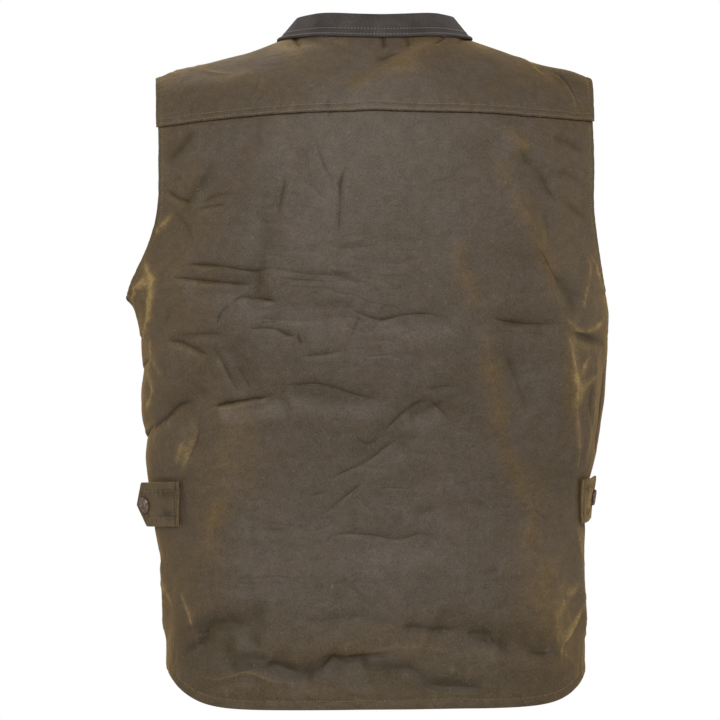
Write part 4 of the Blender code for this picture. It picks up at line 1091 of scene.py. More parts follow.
class Seams:
    """Rows of stitches on a piece, which pull its cloth down and pucker it, and turned edges."""

    def __init__(self, rows, edges=(), turned=0.0):
        self.rows, self.along = self.tree_of([form(*place) for place in rows])
        self.edges = self.tree_of([form(*place) for place in edges])[0] if edges else None
        self.turned = turned

    @staticmethod
    def tree_of(lines):
        """A tree to search the points of some lines, and how far along its line each lies."""
        points = np.concatenate(lines)
        tree = KDTree(len(points))
        for number, point in enumerate(points):
            tree.insert(point, number)
        tree.balance()
        return tree, np.concatenate([walk_along(line) for line in lines])

    def lift(self, points):
        """How far the sewing lifts each point, and how much it is rubbed there."""
        flat = points.reshape(-1, 3)
        found = [self.rows.find(point)[1:] for point in flat]
        along = self.along[np.array([number for number, _ in found])]
        far = np.array([distance for _, distance in found])
        pucker = sum(size * np.sin(along * 2 * math.pi / wave + PUCKER_TURN * number)
                     for number, (wave, size) in enumerate(PUCKER_WAVES))
        beside = bell(far, PUCKER_WIDTH)
        lift = PUCKER_HEIGHT * pucker * beside - SEAM_DIP * bell(far, SEAM_DIP_WIDTH)
        worn = SEAM_RUB * beside * np.clip(0.5 + pucker / 2, 0.0, 1.0)
        if self.edges:
            far = np.array([self.edges.find(point)[2] for point in flat])
            turned = ease((self.turned - far) / TURNED_STEP)
            lift += TURNED_RISE * turned
            worn += EDGE_RUB * turned
        return lift.reshape(points.shape[:-1]), worn.reshape(points.shape[:-1])


def neck_node(turn):
    """Face, across and path of the neckline at a turn, 0 at the back and pi at the front."""
    size = np.abs(turn)
    face = np.where(np.cos(size) >= 0, 1.0, -1.0)
    square = np.where(face > 0, 1.0, NECK_FRONT_SQUARE)
    x = NECK_HALF_WIDTH * np.sin(size) ** square * np.sign(turn)
    over = np.abs(np.cos(size)) * np.where(face > 0, BACK_NECK, FRONT_NECK)
    path = RIDGE_PATH - over
    return face, x / reach(face, x, path), path


def neck_turn(half_width):
    """The turn at which the front neckline has a half width."""
    return math.pi - math.asin((half_width / NECK_HALF_WIDTH) ** (1 / NECK_FRONT_SQUARE))


def neck_corner(drop):
    """The turn at which the front neckline is a drop below the ridge."""
    return math.pi - np.arccos(drop / FRONT_NECK)


def front_seam_drop(share):
    """How far down the front the yoke reaches, from the neck (0) to the armhole (1)."""
    return FRONT_YOKE_AT_NECK + (FRONT_YOKE_AT_ARM - FRONT_YOKE_AT_NECK) * share


def shoulder_strip(drop_of_share, columns):
    """Across and path of the yoke's columns from the neck to the armhole, on the front."""
    share = np.linspace(0.0, 1.0, columns + 1)
    drop = drop_of_share(share)
    path = RIDGE_PATH - drop
    neck = NECK_HALF_WIDTH * np.sin(neck_corner(drop[0])) ** NECK_FRONT_SQUARE
    start = neck / reach(np.full(share.shape, -1.0), np.ones(share.shape), path)
    return start + (1 - start) * share, path


def hem_height(across):
    """How far the hem curves up towards the sides."""
    return HEM_SIDE_RISE * np.abs(across) ** HEM_SIDE_POWER


def panel_paths(across, top):
    """Paths of a panel's rows from its hem to its top, close together under the arm."""
    body = np.linspace(0.0, 1.0, BODY_ROWS + 1)[:-1, None]
    arm = np.linspace(0.0, 1.0, ARMHOLE_ROWS + 1)[:, None] ** ARMHOLE_ROW_POWER
    hem = hem_height(across[:BODY_ROWS])
    lower = hem + (ARMHOLE_HEIGHT - hem) * body
    return np.concatenate([lower, ARMHOLE_HEIGHT + (top - ARMHOLE_HEIGHT) * arm])


def yoke_seam_path(across):
    """The path of the yoke's lower edge on the back."""
    fall = np.where(across >= 0, YOKE_SEAM_FALL_LEFT, YOKE_SEAM_FALL_RIGHT)
    return path_at(across * TIP_LEFT, YOKE_SEAM_HEIGHT - fall * across ** 2)


def even_across(face, path, shares):
    """Across values that part a row of the cloth evenly, for shares from -1 to 1."""
    samples = np.sin(np.linspace(-1.0, 1.0, ARC_SAMPLES) * math.pi / 2)
    walk = walk_along(form(np.full(samples.shape, face), samples, np.full(samples.shape, path)))
    middle = np.interp(0.0, samples, walk)
    left = middle + (walk[-1] - middle) * np.maximum(shares, 0.0)
    return np.interp(left + middle * np.minimum(shares, 0.0), walk, samples)


def paint(thing, name, values):
    """Keeps a number, or a place, for each vertex of a piece."""
    kind, field = ("FLOAT", "value") if values.ndim == 1 else ("FLOAT_VECTOR", "vector")
    kept = thing.data.attributes.new(name, kind, "POINT")
    kept.data.foreach_set(field, values.astype(np.float32).ravel())


def cut_place(outer):
    """Places on the flat cloth: the way across and the way up, in metres."""
    across, up = walk_along(outer, 1), walk_along(outer, 0)
    across = across - across[:, across.shape[1] // 2][:, None]
    return np.stack([across, up, np.zeros(up.shape)], axis=-1)


def shell(name, base, normal, lift, wall, look, paints, cells=None):
    """A thin closed shell of cloth, fine outside and coarser inside, with a rounded rim."""
    rows, columns = base.shape[0] - 1, base.shape[1] - 1
    if cells is None:
        cells = np.ones((rows, columns), dtype=bool)
    outer = base + normal * lift[..., None]
    held = lift.copy()
    for step in range(1, COARSE):
        for axis in (0, 1):
            for way in (step, -step):
                held = np.minimum(held, np.roll(lift, way, axis=axis))
    held[[0, -1]], held[:, [0, -1]] = lift[[0, -1]], lift[:, [0, -1]]
    inner = base + normal * (held - wall)[..., None]
    middle = (outer + base + normal * (lift - wall)[..., None]) / 2 \
        + away_from_inside(outer, cells) * RIM_SWELL * wall

    points, number_of = [], {}
    grids = {"outer": outer, "middle": middle, "inner": inner}

    def vertex(net, row, column):
        key = (net, row, column)
        if key not in number_of:
            number_of[key] = len(points)
            points.append(grids[net][row, column])
        return number_of[key]

    used = np.zeros((rows + 1, columns + 1), dtype=bool)
    for row_step in (0, 1):
        for column_step in (0, 1):
            used[row_step:rows + row_step, column_step:columns + column_step] |= cells
    spots = np.argwhere(used)
    numbers = np.full(used.shape, -1)
    numbers[used] = np.arange(len(spots))
    for number, (row, column) in enumerate(spots):
        number_of["outer", row, column] = number
    points.extend(outer[used])
    row, column = np.nonzero(cells)
    faces = np.stack([numbers[row, column], numbers[row, column + 1],
                      numbers[row + 1, column + 1], numbers[row + 1, column]], axis=-1).tolist()
    for row in range(0, rows, COARSE):
        for column in range(0, columns, COARSE):
            if not cells[row, column]:
                continue
            far_row, far_column = row + COARSE, column + COARSE
            ring = [(row, column), (row, far_column), (far_row, far_column), (far_row, column)]
            faces.append([vertex("inner", *corner) for corner in reversed(ring)])
            beside = [(row - 1, column), (row, far_column), (far_row, column), (row, column - 1)]
            for side, (next_row, next_column) in enumerate(beside):
                if (0 <= next_row < rows and 0 <= next_column < columns
                        and cells[next_row, next_column]):
                    continue
                start, end = np.array(ring[side]), np.array(ring[(side + 1) % 4])
                run = [tuple(start + (end - start) * step // COARSE) for step in range(COARSE + 1)]
                for first, second in zip(run, run[1:]):
                    faces.append([vertex("outer", *second), vertex("outer", *first),
                                  vertex("middle", *first), vertex("middle", *second)])
                faces.append([vertex("middle", *spot) for spot in reversed(run)]
                             + [vertex("inner", *run[0]), vertex("inner", *run[-1])])
    row, column = np.argwhere(cells)[cells.sum() // 2]
    corner = outer[row, column]
    turn = np.cross(outer[row, column + 1] - corner, outer[row + 1, column] - corner)
    if np.dot(turn, normal[row, column]) < 0:
        faces = [face[::-1] for face in faces]
    thing = mesh_piece(name, np.array(points), faces, look)
    thing.data.set_sharp_from_angle(angle=RIM_ANGLE)
    keys = tuple(np.array([key[1:] for key in sorted(number_of, key=number_of.get)]).T)
    outside = np.arange(len(points)) < len(spots)
    for label, values in paints.items():
        paint(thing, label, values[keys] * outside)
    paint(thing, "cut", cut_place(outer)[keys])
    return thing


def away_from_inside(outer, cells):
    """The direction that leads away from a net at each point of its edge."""
    rows, columns = cells.shape
    beside = np.zeros((rows + 1, columns), dtype=bool)
    beside[:-1] |= cells
    beside[1:] |= cells
    above = np.zeros((rows, columns + 1), dtype=bool)
    above[:, :-1] |= cells
    above[:, 1:] |= cells
    total, count = np.zeros(outer.shape), np.zeros(outer.shape[:2])
    for joined, one, other in ((beside, np.s_[:, :-1], np.s_[:, 1:]),
                               (above, np.s_[:-1], np.s_[1:])):
        for target, source in ((one, other), (other, one)):
            total[target] += outer[source] * joined[..., None]
            count[target] += joined
    inward = total / np.maximum(count, 1)[..., None] - outer
    return -inward / np.maximum(np.linalg.norm(inward, axis=-1, keepdims=True), LEAST)


def mesh_piece(name, points, faces, look):
    """A piece of the vest from points measured up from the hem."""
    data = bpy.data.meshes.new(name)
    data.from_pydata((points - np.array([0.0, 0.0, HOLD_HEIGHT])).tolist(), [], faces)
    data.update()
    data.shade_smooth()
    data.materials.append(look)
    thing = bpy.data.objects.new(name, data)
    bpy.context.scene.collection.objects.link(thing)
    return thing


def settle(thing, node):
    """Stands a piece in for a solid, which it hides, and lets it ride on the one body."""
    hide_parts(node)
    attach(thing, "root")


def on_cloth(place, seams, lift):
    """Points on the finished cloth at a row of places, and the directions out of it."""
    base, normal, raised, _ = relief(*place, seams)
    return base + normal * (raised + lift)[:, None], normal


def inset(place, distance):
    """Places that lie a distance in from an edge, at right angles to it on the cloth.

    The inside of the edge lies on the left of the way along it, seen from outside the cloth.
    """
    face, across, path = place
    edge, normal = form(*place), outward(*place)
    target = edge + np.cross(normal, unit(np.gradient(edge, axis=0))) * distance
    back = np.where(across >= 0, 1.0, -1.0) * SLOPE_STEP
    for _ in range(INSET_STEPS):
        now = form(face, across, path)
        by_across = (now - form(face, across - back, path)) / back[:, None]
        by_path = (now - form(face, across, path - SLOPE_STEP)) / SLOPE_STEP
        miss = target - now
        aa, ap, pp, ma, mp = (np.sum(one * other, axis=1) for one, other in (
            (by_across, by_across), (by_across, by_path), (by_path, by_path),
            (miss, by_across), (miss, by_path)))
        area = np.maximum(aa * pp - ap ** 2, LEAST)
        across = across + np.clip((ma * pp - mp * ap) / area, -INSET_ACROSS, INSET_ACROSS)
        across = np.clip(across, -INSET_EDGE, INSET_EDGE)
        path = path + np.clip((mp * aa - ma * ap) / area, -INSET_UP, INSET_UP)
        path = np.clip(path, 0.0, RIDGE_PATH)
    return face, across, path


def edge_place(face, side, low, high):
    """Places up or down an armhole edge, with the cloth on the left of the way along it."""
    path = np.linspace(low, high, EDGE_STEPS)
    if face * side > 0:
        path = path[::-1]
    return np.full(path.shape, face), np.full(path.shape, side), path


def hem_place(face, start, end):
    """Places along the hem, with the cloth on the left of the way along it."""
    across = np.linspace(start, end, 2 * EDGE_STEPS)
    if face * (end - start) > 0:
        across = across[::-1]
    return np.full(across.shape, face), across, hem_height(across)


def walk_evenly(points, normals, pitch):
    """Points and directions at even steps along a line."""
    walk = walk_along(points)
    at = np.arange(0.0, walk[-1], pitch)
    spots, outs = (np.stack([np.interp(at, walk, line[:, axis]) for axis in range(3)], axis=-1)
                   for line in (points, normals))
    return spots, unit(outs)


def tube(rings, sides, first=0):
    """Faces of a closed tube whose points run ring by ring from a first one."""
    faces = []
    last = first + (rings - 1) * sides
    for low in range(first, last, sides):
        for side in range(sides):
            after = (side + 1) % sides
            faces.append((low + side, low + sides + side, low + sides + after, low + after))
    return faces + [tuple(range(first, first + sides)), tuple(reversed(range(last, last + sides)))]


def stitches(node, rows, look="thread",
             radius=STITCH_RADIUS, length=STITCH_LENGTH, pitch=STITCH_PITCH):
    """One joined mesh of all the stitches of a solid, along rows of points and directions."""
    points, faces = [], []
    turns = np.arange(STITCH_SIDES) * 2 * math.pi / STITCH_SIDES
    for line, normals in rows:
        spots, outs = walk_evenly(line, normals, pitch)
        for start, end, out in zip(spots[:-1], spots[1:], outs[:-1]):
            ahead = unit(end - start)
            aside = np.cross(out, ahead)
            faces += tube(len(STITCH_RINGS), STITCH_SIDES, len(points))
            for share, size in STITCH_RINGS:
                sink = (4 * share * (1 - share) - 1) * STITCH_SINK
                centre = start + ahead * share * length + out * sink
                points += [centre + (aside * math.cos(turn) + out * math.sin(turn)) * radius * size
                           for turn in turns]
    thing = mesh_piece(node + "_stitches", np.array(points), faces, LOOKS[look])
    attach(thing, "root")


class Look:
    """A material that is being made, with its nodes."""

    def __init__(self, name):
        self.material = bpy.data.materials.new(name)
        self.material.use_nodes = True
        self.tree = self.material.node_tree
        self.shader = self.tree.nodes["Principled BSDF"]
        self.place = self.node("TexCoord").outputs["Object"]
        self.noises = {}
        LOOKS[name] = self.material

    def fill(self, socket, value):
        """Links a socket or sets its value."""
        if isinstance(value, bpy.types.NodeSocket):
            self.tree.links.new(value, socket)
        else:
            socket.default_value = value

    def node(self, kind, inputs=(), **settings):
        made = self.tree.nodes.new("ShaderNode" + kind)
        for name, value in settings.items():
            setattr(made, name, value)
        for name, value in dict(inputs).items():
            self.fill(made.inputs[name], value)
        return made

    def noise(self, size, detail, place=None):
        """Smooth noise from 0 to 1, with lumps of a size in metres."""
        inputs = {"Vector": place or self.place, "Scale": 1 / size, "Detail": detail}
        return self.node("TexNoise", inputs).outputs["Fac"]

    def lumps(self, name):
        """Noise of the table of lumps, stretched between its two values."""
        size, detail, *ends = LUMPS[name]
        if (size, detail) not in self.noises:
            self.noises[size, detail] = self.noise(size, detail)
        return self.stretch(self.noises[size, detail], *ends)

    def stretch(self, value, low, high, start=0.0, end=1.0, way="LINEAR"):
        """Stretches a number from one range to another."""
        inputs = {"Value": value, "From Min": low, "From Max": high, "To Min": start, "To Max": end}
        return self.node("MapRange", inputs, interpolation_type=way).outputs["Result"]

    def maths(self, operation, first, second=0.0):
        return self.node("Math", {0: first, 1: second}, operation=operation).outputs["Value"]

    def times(self, first, second):
        return self.maths("MULTIPLY", first, second)

    def limit(self, value):
        return self.node("Clamp", {"Value": value}).outputs["Result"]

    def mix(self, share, first, second):
        """One colour laid over another by a share."""
        return self.node("Mix", {0: share, 6: first, 7: second}, data_type="RGBA").outputs[2]

    def tint(self, colour, share, over):
        """A colour laid over another by a share that may go past its limits."""
        return self.mix(self.limit(share), colour, rgb(*over))

    def shade(self, colour, value):
        """A colour, lighter or darker."""
        return self.node("HueSaturation", {"Color": colour, "Value": value}).outputs["Color"]

    def painted(self, name, output="Fac"):
        return self.node("Attribute", attribute_name=name).outputs[output]

    def bump(self, height, distance, strength, under=None):
        inputs = {"Height": height, "Distance": distance, "Strength": strength}
        if under:
            inputs["Normal"] = under
        return self.node("Bump", inputs).outputs["Normal"]

    def weave(self):
        """Height of a plain weave, from places on the flat cloth."""
        parts = self.node("SeparateXYZ", {"Vector": self.painted("cut", "Vector")})
        turns = (self.times(parts.outputs[axis], math.pi / WEAVE_PITCH) for axis in ("X", "Y"))
        return self.times(*(self.maths("SINE", turn) for turn in turns))

    def set(self, **values):
        """Sets sockets of the shader, named with underscores for spaces."""
        for name, value in values.items():
            self.fill(self.shader.inputs[name.replace("_", " ")], value)


def rgb(*colour):
    """A colour as a socket takes it."""
    return (*colour, 1.0)


def crinkles(look):
    """Height of the finest creases, from 0 in them to 1: nets of lines that lie mostly across
    the cloth, and here and there only."""
    height = 1.0
    for number, (size, turn) in enumerate(CRINKLES):
        place = look.node("Mapping", {"Vector": look.place, "Rotation": (0.0, turn, 0.0),
                                      "Scale": CRINKLE_STRETCH})
        field = look.noise(size, 1, place.outputs["Vector"])
        line = look.maths("ABSOLUTE", look.maths("SUBTRACT", field, 0.5))
        line = look.stretch(line, 0.0, CRINKLE_WIDTH, way="SMOOTHSTEP")
        shown = look.stretch(look.noise(CRINKLE_SPREAD + number * size, 2), *CRINKLE_SHOWN)
        kept = look.maths("SUBTRACT", 1.0, look.times(shown, look.maths("SUBTRACT", 1.0, line)))
        height = look.times(height, kept)
    return height


def make_waxed_cotton():
    """Waxed cotton: gold where it is rubbed and as painted sheen, golden brown where worn and as
    painted tilt shading, and painted shade in creases and hollows.
    """
    look = Look("waxed_cotton")
    colour = look.mix(look.lumps("tone"), rgb(*WAX_DARK), rgb(*WAX_LIGHT))
    colour = look.mix(look.lumps("brown"), colour, rgb(*WAX_BROWN))
    # Golden brown of wear and of painted tilt shading
    colour = look.tint(colour, look.times(look.painted("wear_and_tilt_shade"), look.lumps("wear_and_shade_unevenness")), WAX_WORN_AND_TILT_SHADE)
    # Gold of rubbed wax and painted sheen on ridges, lips, rims and the shoulder
    rubbed = look.times(look.painted("ridge"), look.lumps("rubbed"))
    colour = look.tint(colour, look.times(rubbed, look.lumps("patchy")), WAX_RUBBED_AND_SHEEN_GOLD)
    # Painted shade in troughs, hollows, under the collar and round the tabs, and darker towards the
    # hem
    colour = look.tint(colour, look.times(look.painted("trough"), look.lumps("shade_unevenness")), WAX_PAINTED_SHADE)
    crinkle = crinkles(look)
    # Painted shade in the finest creases
    crinkle_shade = look.stretch(crinkle, 0.0, 1.0, CRINKLE_SHADE, 0.0)
    colour = look.mix(crinkle_shade, colour, rgb(*WAX_PAINTED_SHADE))
    # A painted gold highlight along a ridge's line, and painted shade along a trough's
    far = look.maths("ABSOLUTE", look.painted("aside"))
    line = look.stretch(far, 0.0, CORE_WIDTH, 1.0, 0.0, "SMOOTHSTEP")
    line = look.times(line, look.painted("crease_line_light_and_shade"))
    lit = look.times(line, look.lumps("lit"))
    colour = look.tint(colour, look.times(lit, look.lumps("patchy")), WAX_RUBBED_AND_SHEEN_GOLD)
    colour = look.tint(colour, look.times(line, -CORE_SHADE), WAX_PAINTED_SHADE)
    colour = look.shade(colour, look.times(look.lumps("grain"), look.lumps("mottle")))
    colour = look.mix(look.lumps("lint"), colour, rgb(*LINT))
    normal = look.bump(crinkle, *CRINKLE_BUMP)
    normal = look.bump(line, *CORE_BUMP, normal)
    normal = look.bump(look.noise(*COTTON_LUMPS), *COTTON_BUMP, normal)
    normal = look.bump(look.weave(), *COTTON_WEAVE_BUMP, normal)
    look.set(Base_Color=colour, Normal=normal, Roughness=look.lumps("dullness"),
             Specular_IOR_Level=0.70, Sheen_Weight=0.62, Sheen_Roughness=0.34,
             Sheen_Tint=rgb(*SHEEN))


def make_collar_cloth():
    """A darker cloth, with a small hole where the needle went in between two stitches, darkened as
    painted shade.
    """
    look = Look("collar_cloth")
    colour = look.mix(look.lumps("collar_tone"), rgb(*COLLAR_DARK), rgb(*COLLAR_BROWN))
    colour = look.shade(colour, look.lumps("collar_grain"))
    from_hole = look.maths("SUBTRACT", look.painted("walk"),
                           (COLLAR_STITCH_LENGTH + COLLAR_STITCH_PITCH) / 2)
    along = look.maths("COSINE", look.times(from_hole, 2 * math.pi / COLLAR_STITCH_PITCH))
    hole = look.times(look.stretch(along, *HOLE_ALONG),
                      look.stretch(look.painted("sewn"), *HOLE_ACROSS))
    # Painted shade in the needle holes
    colour = look.mix(look.times(hole, HOLE_SHADE), colour, rgb(*NEEDLE_HOLE_SHADE))
    normal = look.bump(look.noise(*COLLAR_LUMPS), *COLLAR_BUMP)
    normal = look.bump(hole, *HOLE_BUMP, normal)
    normal = look.bump(look.weave(), *COLLAR_WEAVE_BUMP, normal)
    look.set(Base_Color=colour, Normal=normal, Roughness=0.85, Specular_IOR_Level=0.3,
             Sheen_Weight=0.15, Sheen_Roughness=0.5)


def make_thread(name, colour):
    """Twisted thread of one colour."""
    look = Look(name)
    twist = look.node("TexWave", {"Vector": look.place, "Scale": TWIST_SCALE},
                      bands_direction="DIAGONAL")
    look.set(Base_Color=look.shade(rgb(*colour), look.lumps("thread")), Roughness=0.6,
             Sheen_Weight=0.3, Normal=look.bump(twist.outputs["Fac"], *TWIST_BUMP))


def make_aged_copper():
    """Copper that has gone dull in places."""
    look = Look("aged_copper")
    dull = look.lumps("aged")
    look.set(Base_Color=look.mix(dull, rgb(*COPPER_BRIGHT), rgb(*COPPER_DULL)), Metallic=0.8,
             Roughness=look.stretch(dull, 0.0, 1.0, *COPPER_ROUGHNESS),
             Normal=look.bump(look.noise(*COPPER_LUMPS), *COPPER_BUMP))


def make_looks():
    """Makes every material of the vest."""
    make_waxed_cotton()
    make_collar_cloth()
    make_thread("thread", THREAD_TAN)
    make_thread("collar_thread", THREAD_GREY)
    make_aged_copper()


def cloth(node, base, normal, lift, wall, look, paints, cells=None):
    """The cloth of a solid: a shell that takes its place, with places on the flat cloth painted on
    it.
    """
    thing = shell(node + "_cloth", base, normal, lift, wall, LOOKS[look], paints, cells)
    settle(thing, node)


def make_back_panel():
    """The back, with a lap that runs up under the yoke."""
    shares = np.linspace(-1.0, 1.0, BACK_COLUMNS + 1)
    middle = even_across(1.0, BLADE_HEIGHT / 2, shares)[None]
    levels = panel_paths(np.repeat(middle, BODY_ROWS, axis=0), yoke_seam_path(middle))
    across = np.array([even_across(1.0, float(level), shares) for level in levels[:, 0]])
    seam = yoke_seam_path(across[-1])
    lap = seam + LAP * np.arange(1, LAP_ROWS + 1)[:, None] / LAP_ROWS
    path = np.concatenate([panel_paths(across, seam), lap])
    across = np.concatenate([across, np.repeat(across[-1:], LAP_ROWS, axis=0)])
    hem = hem_place(1.0, -1.0, 1.0)
    arms = [edge_place(1.0, side, ARMHOLE_HEIGHT, float(seam[0])) for side in (-1.0, 1.0)]
    rows = [inset(hem, HEM_STITCH)] + [inset(arm, ARMHOLE_STITCH) for arm in arms]
    seams = Seams(rows, [hem] + arms, (HEM_STITCH + ARMHOLE_STITCH) / 2)
    base, normal, lift, paints = relief(1.0, across, path, seams)
    cloth("back_panel", base, normal, lift, WALL, "waxed_cotton", paints)
    stitches("back_panel", [on_cloth(row, seams, 0.0) for row in rows])


def make_yoke():
    """The yoke, over both shoulders and a little way down the fronts."""
    half = YOKE_NECK_COLUMNS + YOKE_ARM_COLUMNS
    numbers = np.arange(-half, half + 1)
    columns = even_across(1.0, YOKE_SEAM_HEIGHT, numbers / half)
    seam = yoke_seam_path(columns)
    size, side = np.abs(numbers), np.where(numbers >= 0, 1.0, -1.0)
    turn = side * np.minimum(size / YOKE_NECK_COLUMNS, 1.0) * math.pi / 2
    _, neck_across, neck_path = neck_node(turn)
    out = np.clip((size - YOKE_NECK_COLUMNS) / YOKE_ARM_COLUMNS, 0.0, 1.0)
    ridge_across = neck_across + (side - neck_across) * out
    share = np.linspace(0.0, 1.0, YOKE_BACK_ROWS + 1)[:, None]
    face = [np.ones((YOKE_BACK_ROWS + 1, size.size))]
    across = [columns + (ridge_across - columns) * share]
    path = [seam + (neck_path - seam) * share]
    pick = np.maximum(size - YOKE_NECK_COLUMNS, 0)
    for row in range(1, YOKE_FRONT_ROWS + 1):
        strip_across, strip_path = shoulder_strip(
            lambda where: front_seam_drop(where) * row / YOKE_FRONT_ROWS, YOKE_ARM_COLUMNS)
        face.append(-np.ones((1, size.size)))
        across.append((side * strip_across[pick])[None])
        path.append(strip_path[pick][None])
    face, across, path = (np.concatenate(part) for part in (face, across, path))
    cells = np.ones((YOKE_BACK_ROWS + YOKE_FRONT_ROWS, 2 * half), dtype=bool)
    cells[YOKE_BACK_ROWS:, half - YOKE_NECK_COLUMNS:half + YOKE_NECK_COLUMNS] = False
    arms = [edge_place(1.0, end, float(yoke_seam_path(np.float64(end))), RIDGE_PATH)
            for end in (-1.0, 1.0)]
    arms += [edge_place(-1.0, end, RIDGE_PATH - FRONT_YOKE_AT_ARM, RIDGE_PATH)
             for end in (-1.0, 1.0)]
    columns = np.linspace(1.0, -1.0, 2 * EDGE_STEPS)
    lower = [(np.ones(columns.shape), columns, yoke_seam_path(columns))]
    strip_across, strip_path = shoulder_strip(front_seam_drop, EDGE_STEPS)
    for way in (-1, 1):
        lower.append((-np.ones(strip_path.shape), way * strip_across[::way], strip_path[::way]))
    rows = [inset(line, distance) for line in lower for distance in YOKE_STITCHES]
    rows += [inset(arm, ARMHOLE_STITCH) for arm in arms]
    seams = Seams(rows, lower + arms, ARMHOLE_STITCH)
    base, normal, lift, paints = relief(face, across, path, seams)
    cloth("back_yoke", base, normal, lift + GAP + WALL, WALL, "waxed_cotton", paints, cells)
    stitches("back_yoke", [on_cloth(row, seams, GAP + WALL) for row in rows])


def front_net(side):
    """Across, paths and cells of one front's fine net, from the placket to its side."""
    strip_across, strip_path = shoulder_strip(front_seam_drop, FRONT_STRIP_COLUMNS)
    placket = np.linspace(-PLACKET_HALF, PLACKET_HALF, PLACKET_COLUMNS + 1)
    first = neck_turn(PLACKET_HALF)
    turns = np.linspace(first, neck_corner(front_seam_drop(0.0)), FRONT_NECK_COLUMNS + 1)[1:]
    _, neck_across, neck_path = neck_node(turns)
    middle = RIDGE_PATH - FRONT_NECK * math.cos(math.pi - first)
    middle_reach = reach(np.float64(-1.0), np.float64(side), np.float64(middle))
    top_path = np.concatenate([[middle] * placket.size, neck_path, strip_path[1:]])
    top_across = np.concatenate([placket / middle_reach, neck_across, strip_across[1:]])
    shares = np.linspace(0.0, 1.0, FRONT_NECK_COLUMNS + FRONT_STRIP_COLUMNS + 1)
    rows = BODY_ROWS + ARMHOLE_ROWS
    across = np.zeros((rows + 1, top_path.size))
    blend = ease(np.linspace(0.0, 1.0, rows + 1))[:, None]
    start = top_across[PLACKET_COLUMNS:]
    start = (start - start[0]) / (1 - start[0])
    for _ in range(FRONT_NET_ROUNDS):
        path = panel_paths(across, top_path)
        width = reach(-1.0, side, path)
        edge = (PLACKET_HALF / width)[:, PLACKET_COLUMNS:]
        even = np.abs([even_across(-1.0, float(level), side * shares) for level in path[:, -1]])
        inside = even + (start - even) * blend
        across[:, PLACKET_COLUMNS:] = edge + (1 - edge) * inside
        across[:, :PLACKET_COLUMNS] = placket[:-1] / width[:, :PLACKET_COLUMNS]
    across[-1, -strip_across.size:] = strip_across
    for row in range(1, LAP_ROWS + 1):
        lap_across, lap_path = shoulder_strip(
            lambda share: front_seam_drop(share) - LAP * row / LAP_ROWS, FRONT_STRIP_COLUMNS)
        kept = top_path.size - lap_path.size
        across = np.concatenate([across, [np.concatenate([across[-1, :kept], lap_across])]])
        path = np.concatenate([path, [np.concatenate([path[-1, :kept], lap_path])]])
    cells = np.ones((rows + LAP_ROWS, top_path.size - 1), dtype=bool)
    cells[rows:, :-FRONT_STRIP_COLUMNS] = False
    return across, path, cells


def placket_place(from_centre, low, high):
    """Places straight up the placket, at a distance from the centre line."""
    path = np.linspace(low, high, EDGE_STEPS)
    return -np.ones(path.shape), from_centre / reach(-1.0, 1.0, path), path


def make_front(name, side, over):
    """One front. The left one is raised at the placket, where it lies on the right one."""
    across, path, cells = front_net(side)
    hem = hem_place(-1.0, 0.0, side)
    arm = edge_place(-1.0, side, ARMHOLE_HEIGHT, RIDGE_PATH - FRONT_YOKE_AT_ARM)
    rows = [inset(hem, HEM_STITCH), inset(arm, ARMHOLE_STITCH)]
    if over:
        top = RIDGE_PATH - FRONT_NECK
        rows += [placket_place(spot, HEM_STITCH, top) for spot in PLACKET_STITCHES]
    seams = Seams(rows, [hem, arm], (HEM_STITCH + ARMHOLE_STITCH) / 2)

    def raised(place):
        from_edge = side * place[1] * reach(-1.0, side, place[2]) - 2 * PLACKET_HALF
        return over * (GAP + WALL) * (1 - ease(np.clip(from_edge, 0.0, None) / PLACKET_FADE))

    base, normal, lift, paints = relief(-1.0, side * across, path, seams)
    lift = lift + raised((-1.0, side * across, path))
    cloth(name, base, normal, lift, WALL, "waxed_cotton", paints, cells)
    stitches(name, [on_cloth(row, seams, raised(row)) for row in rows])


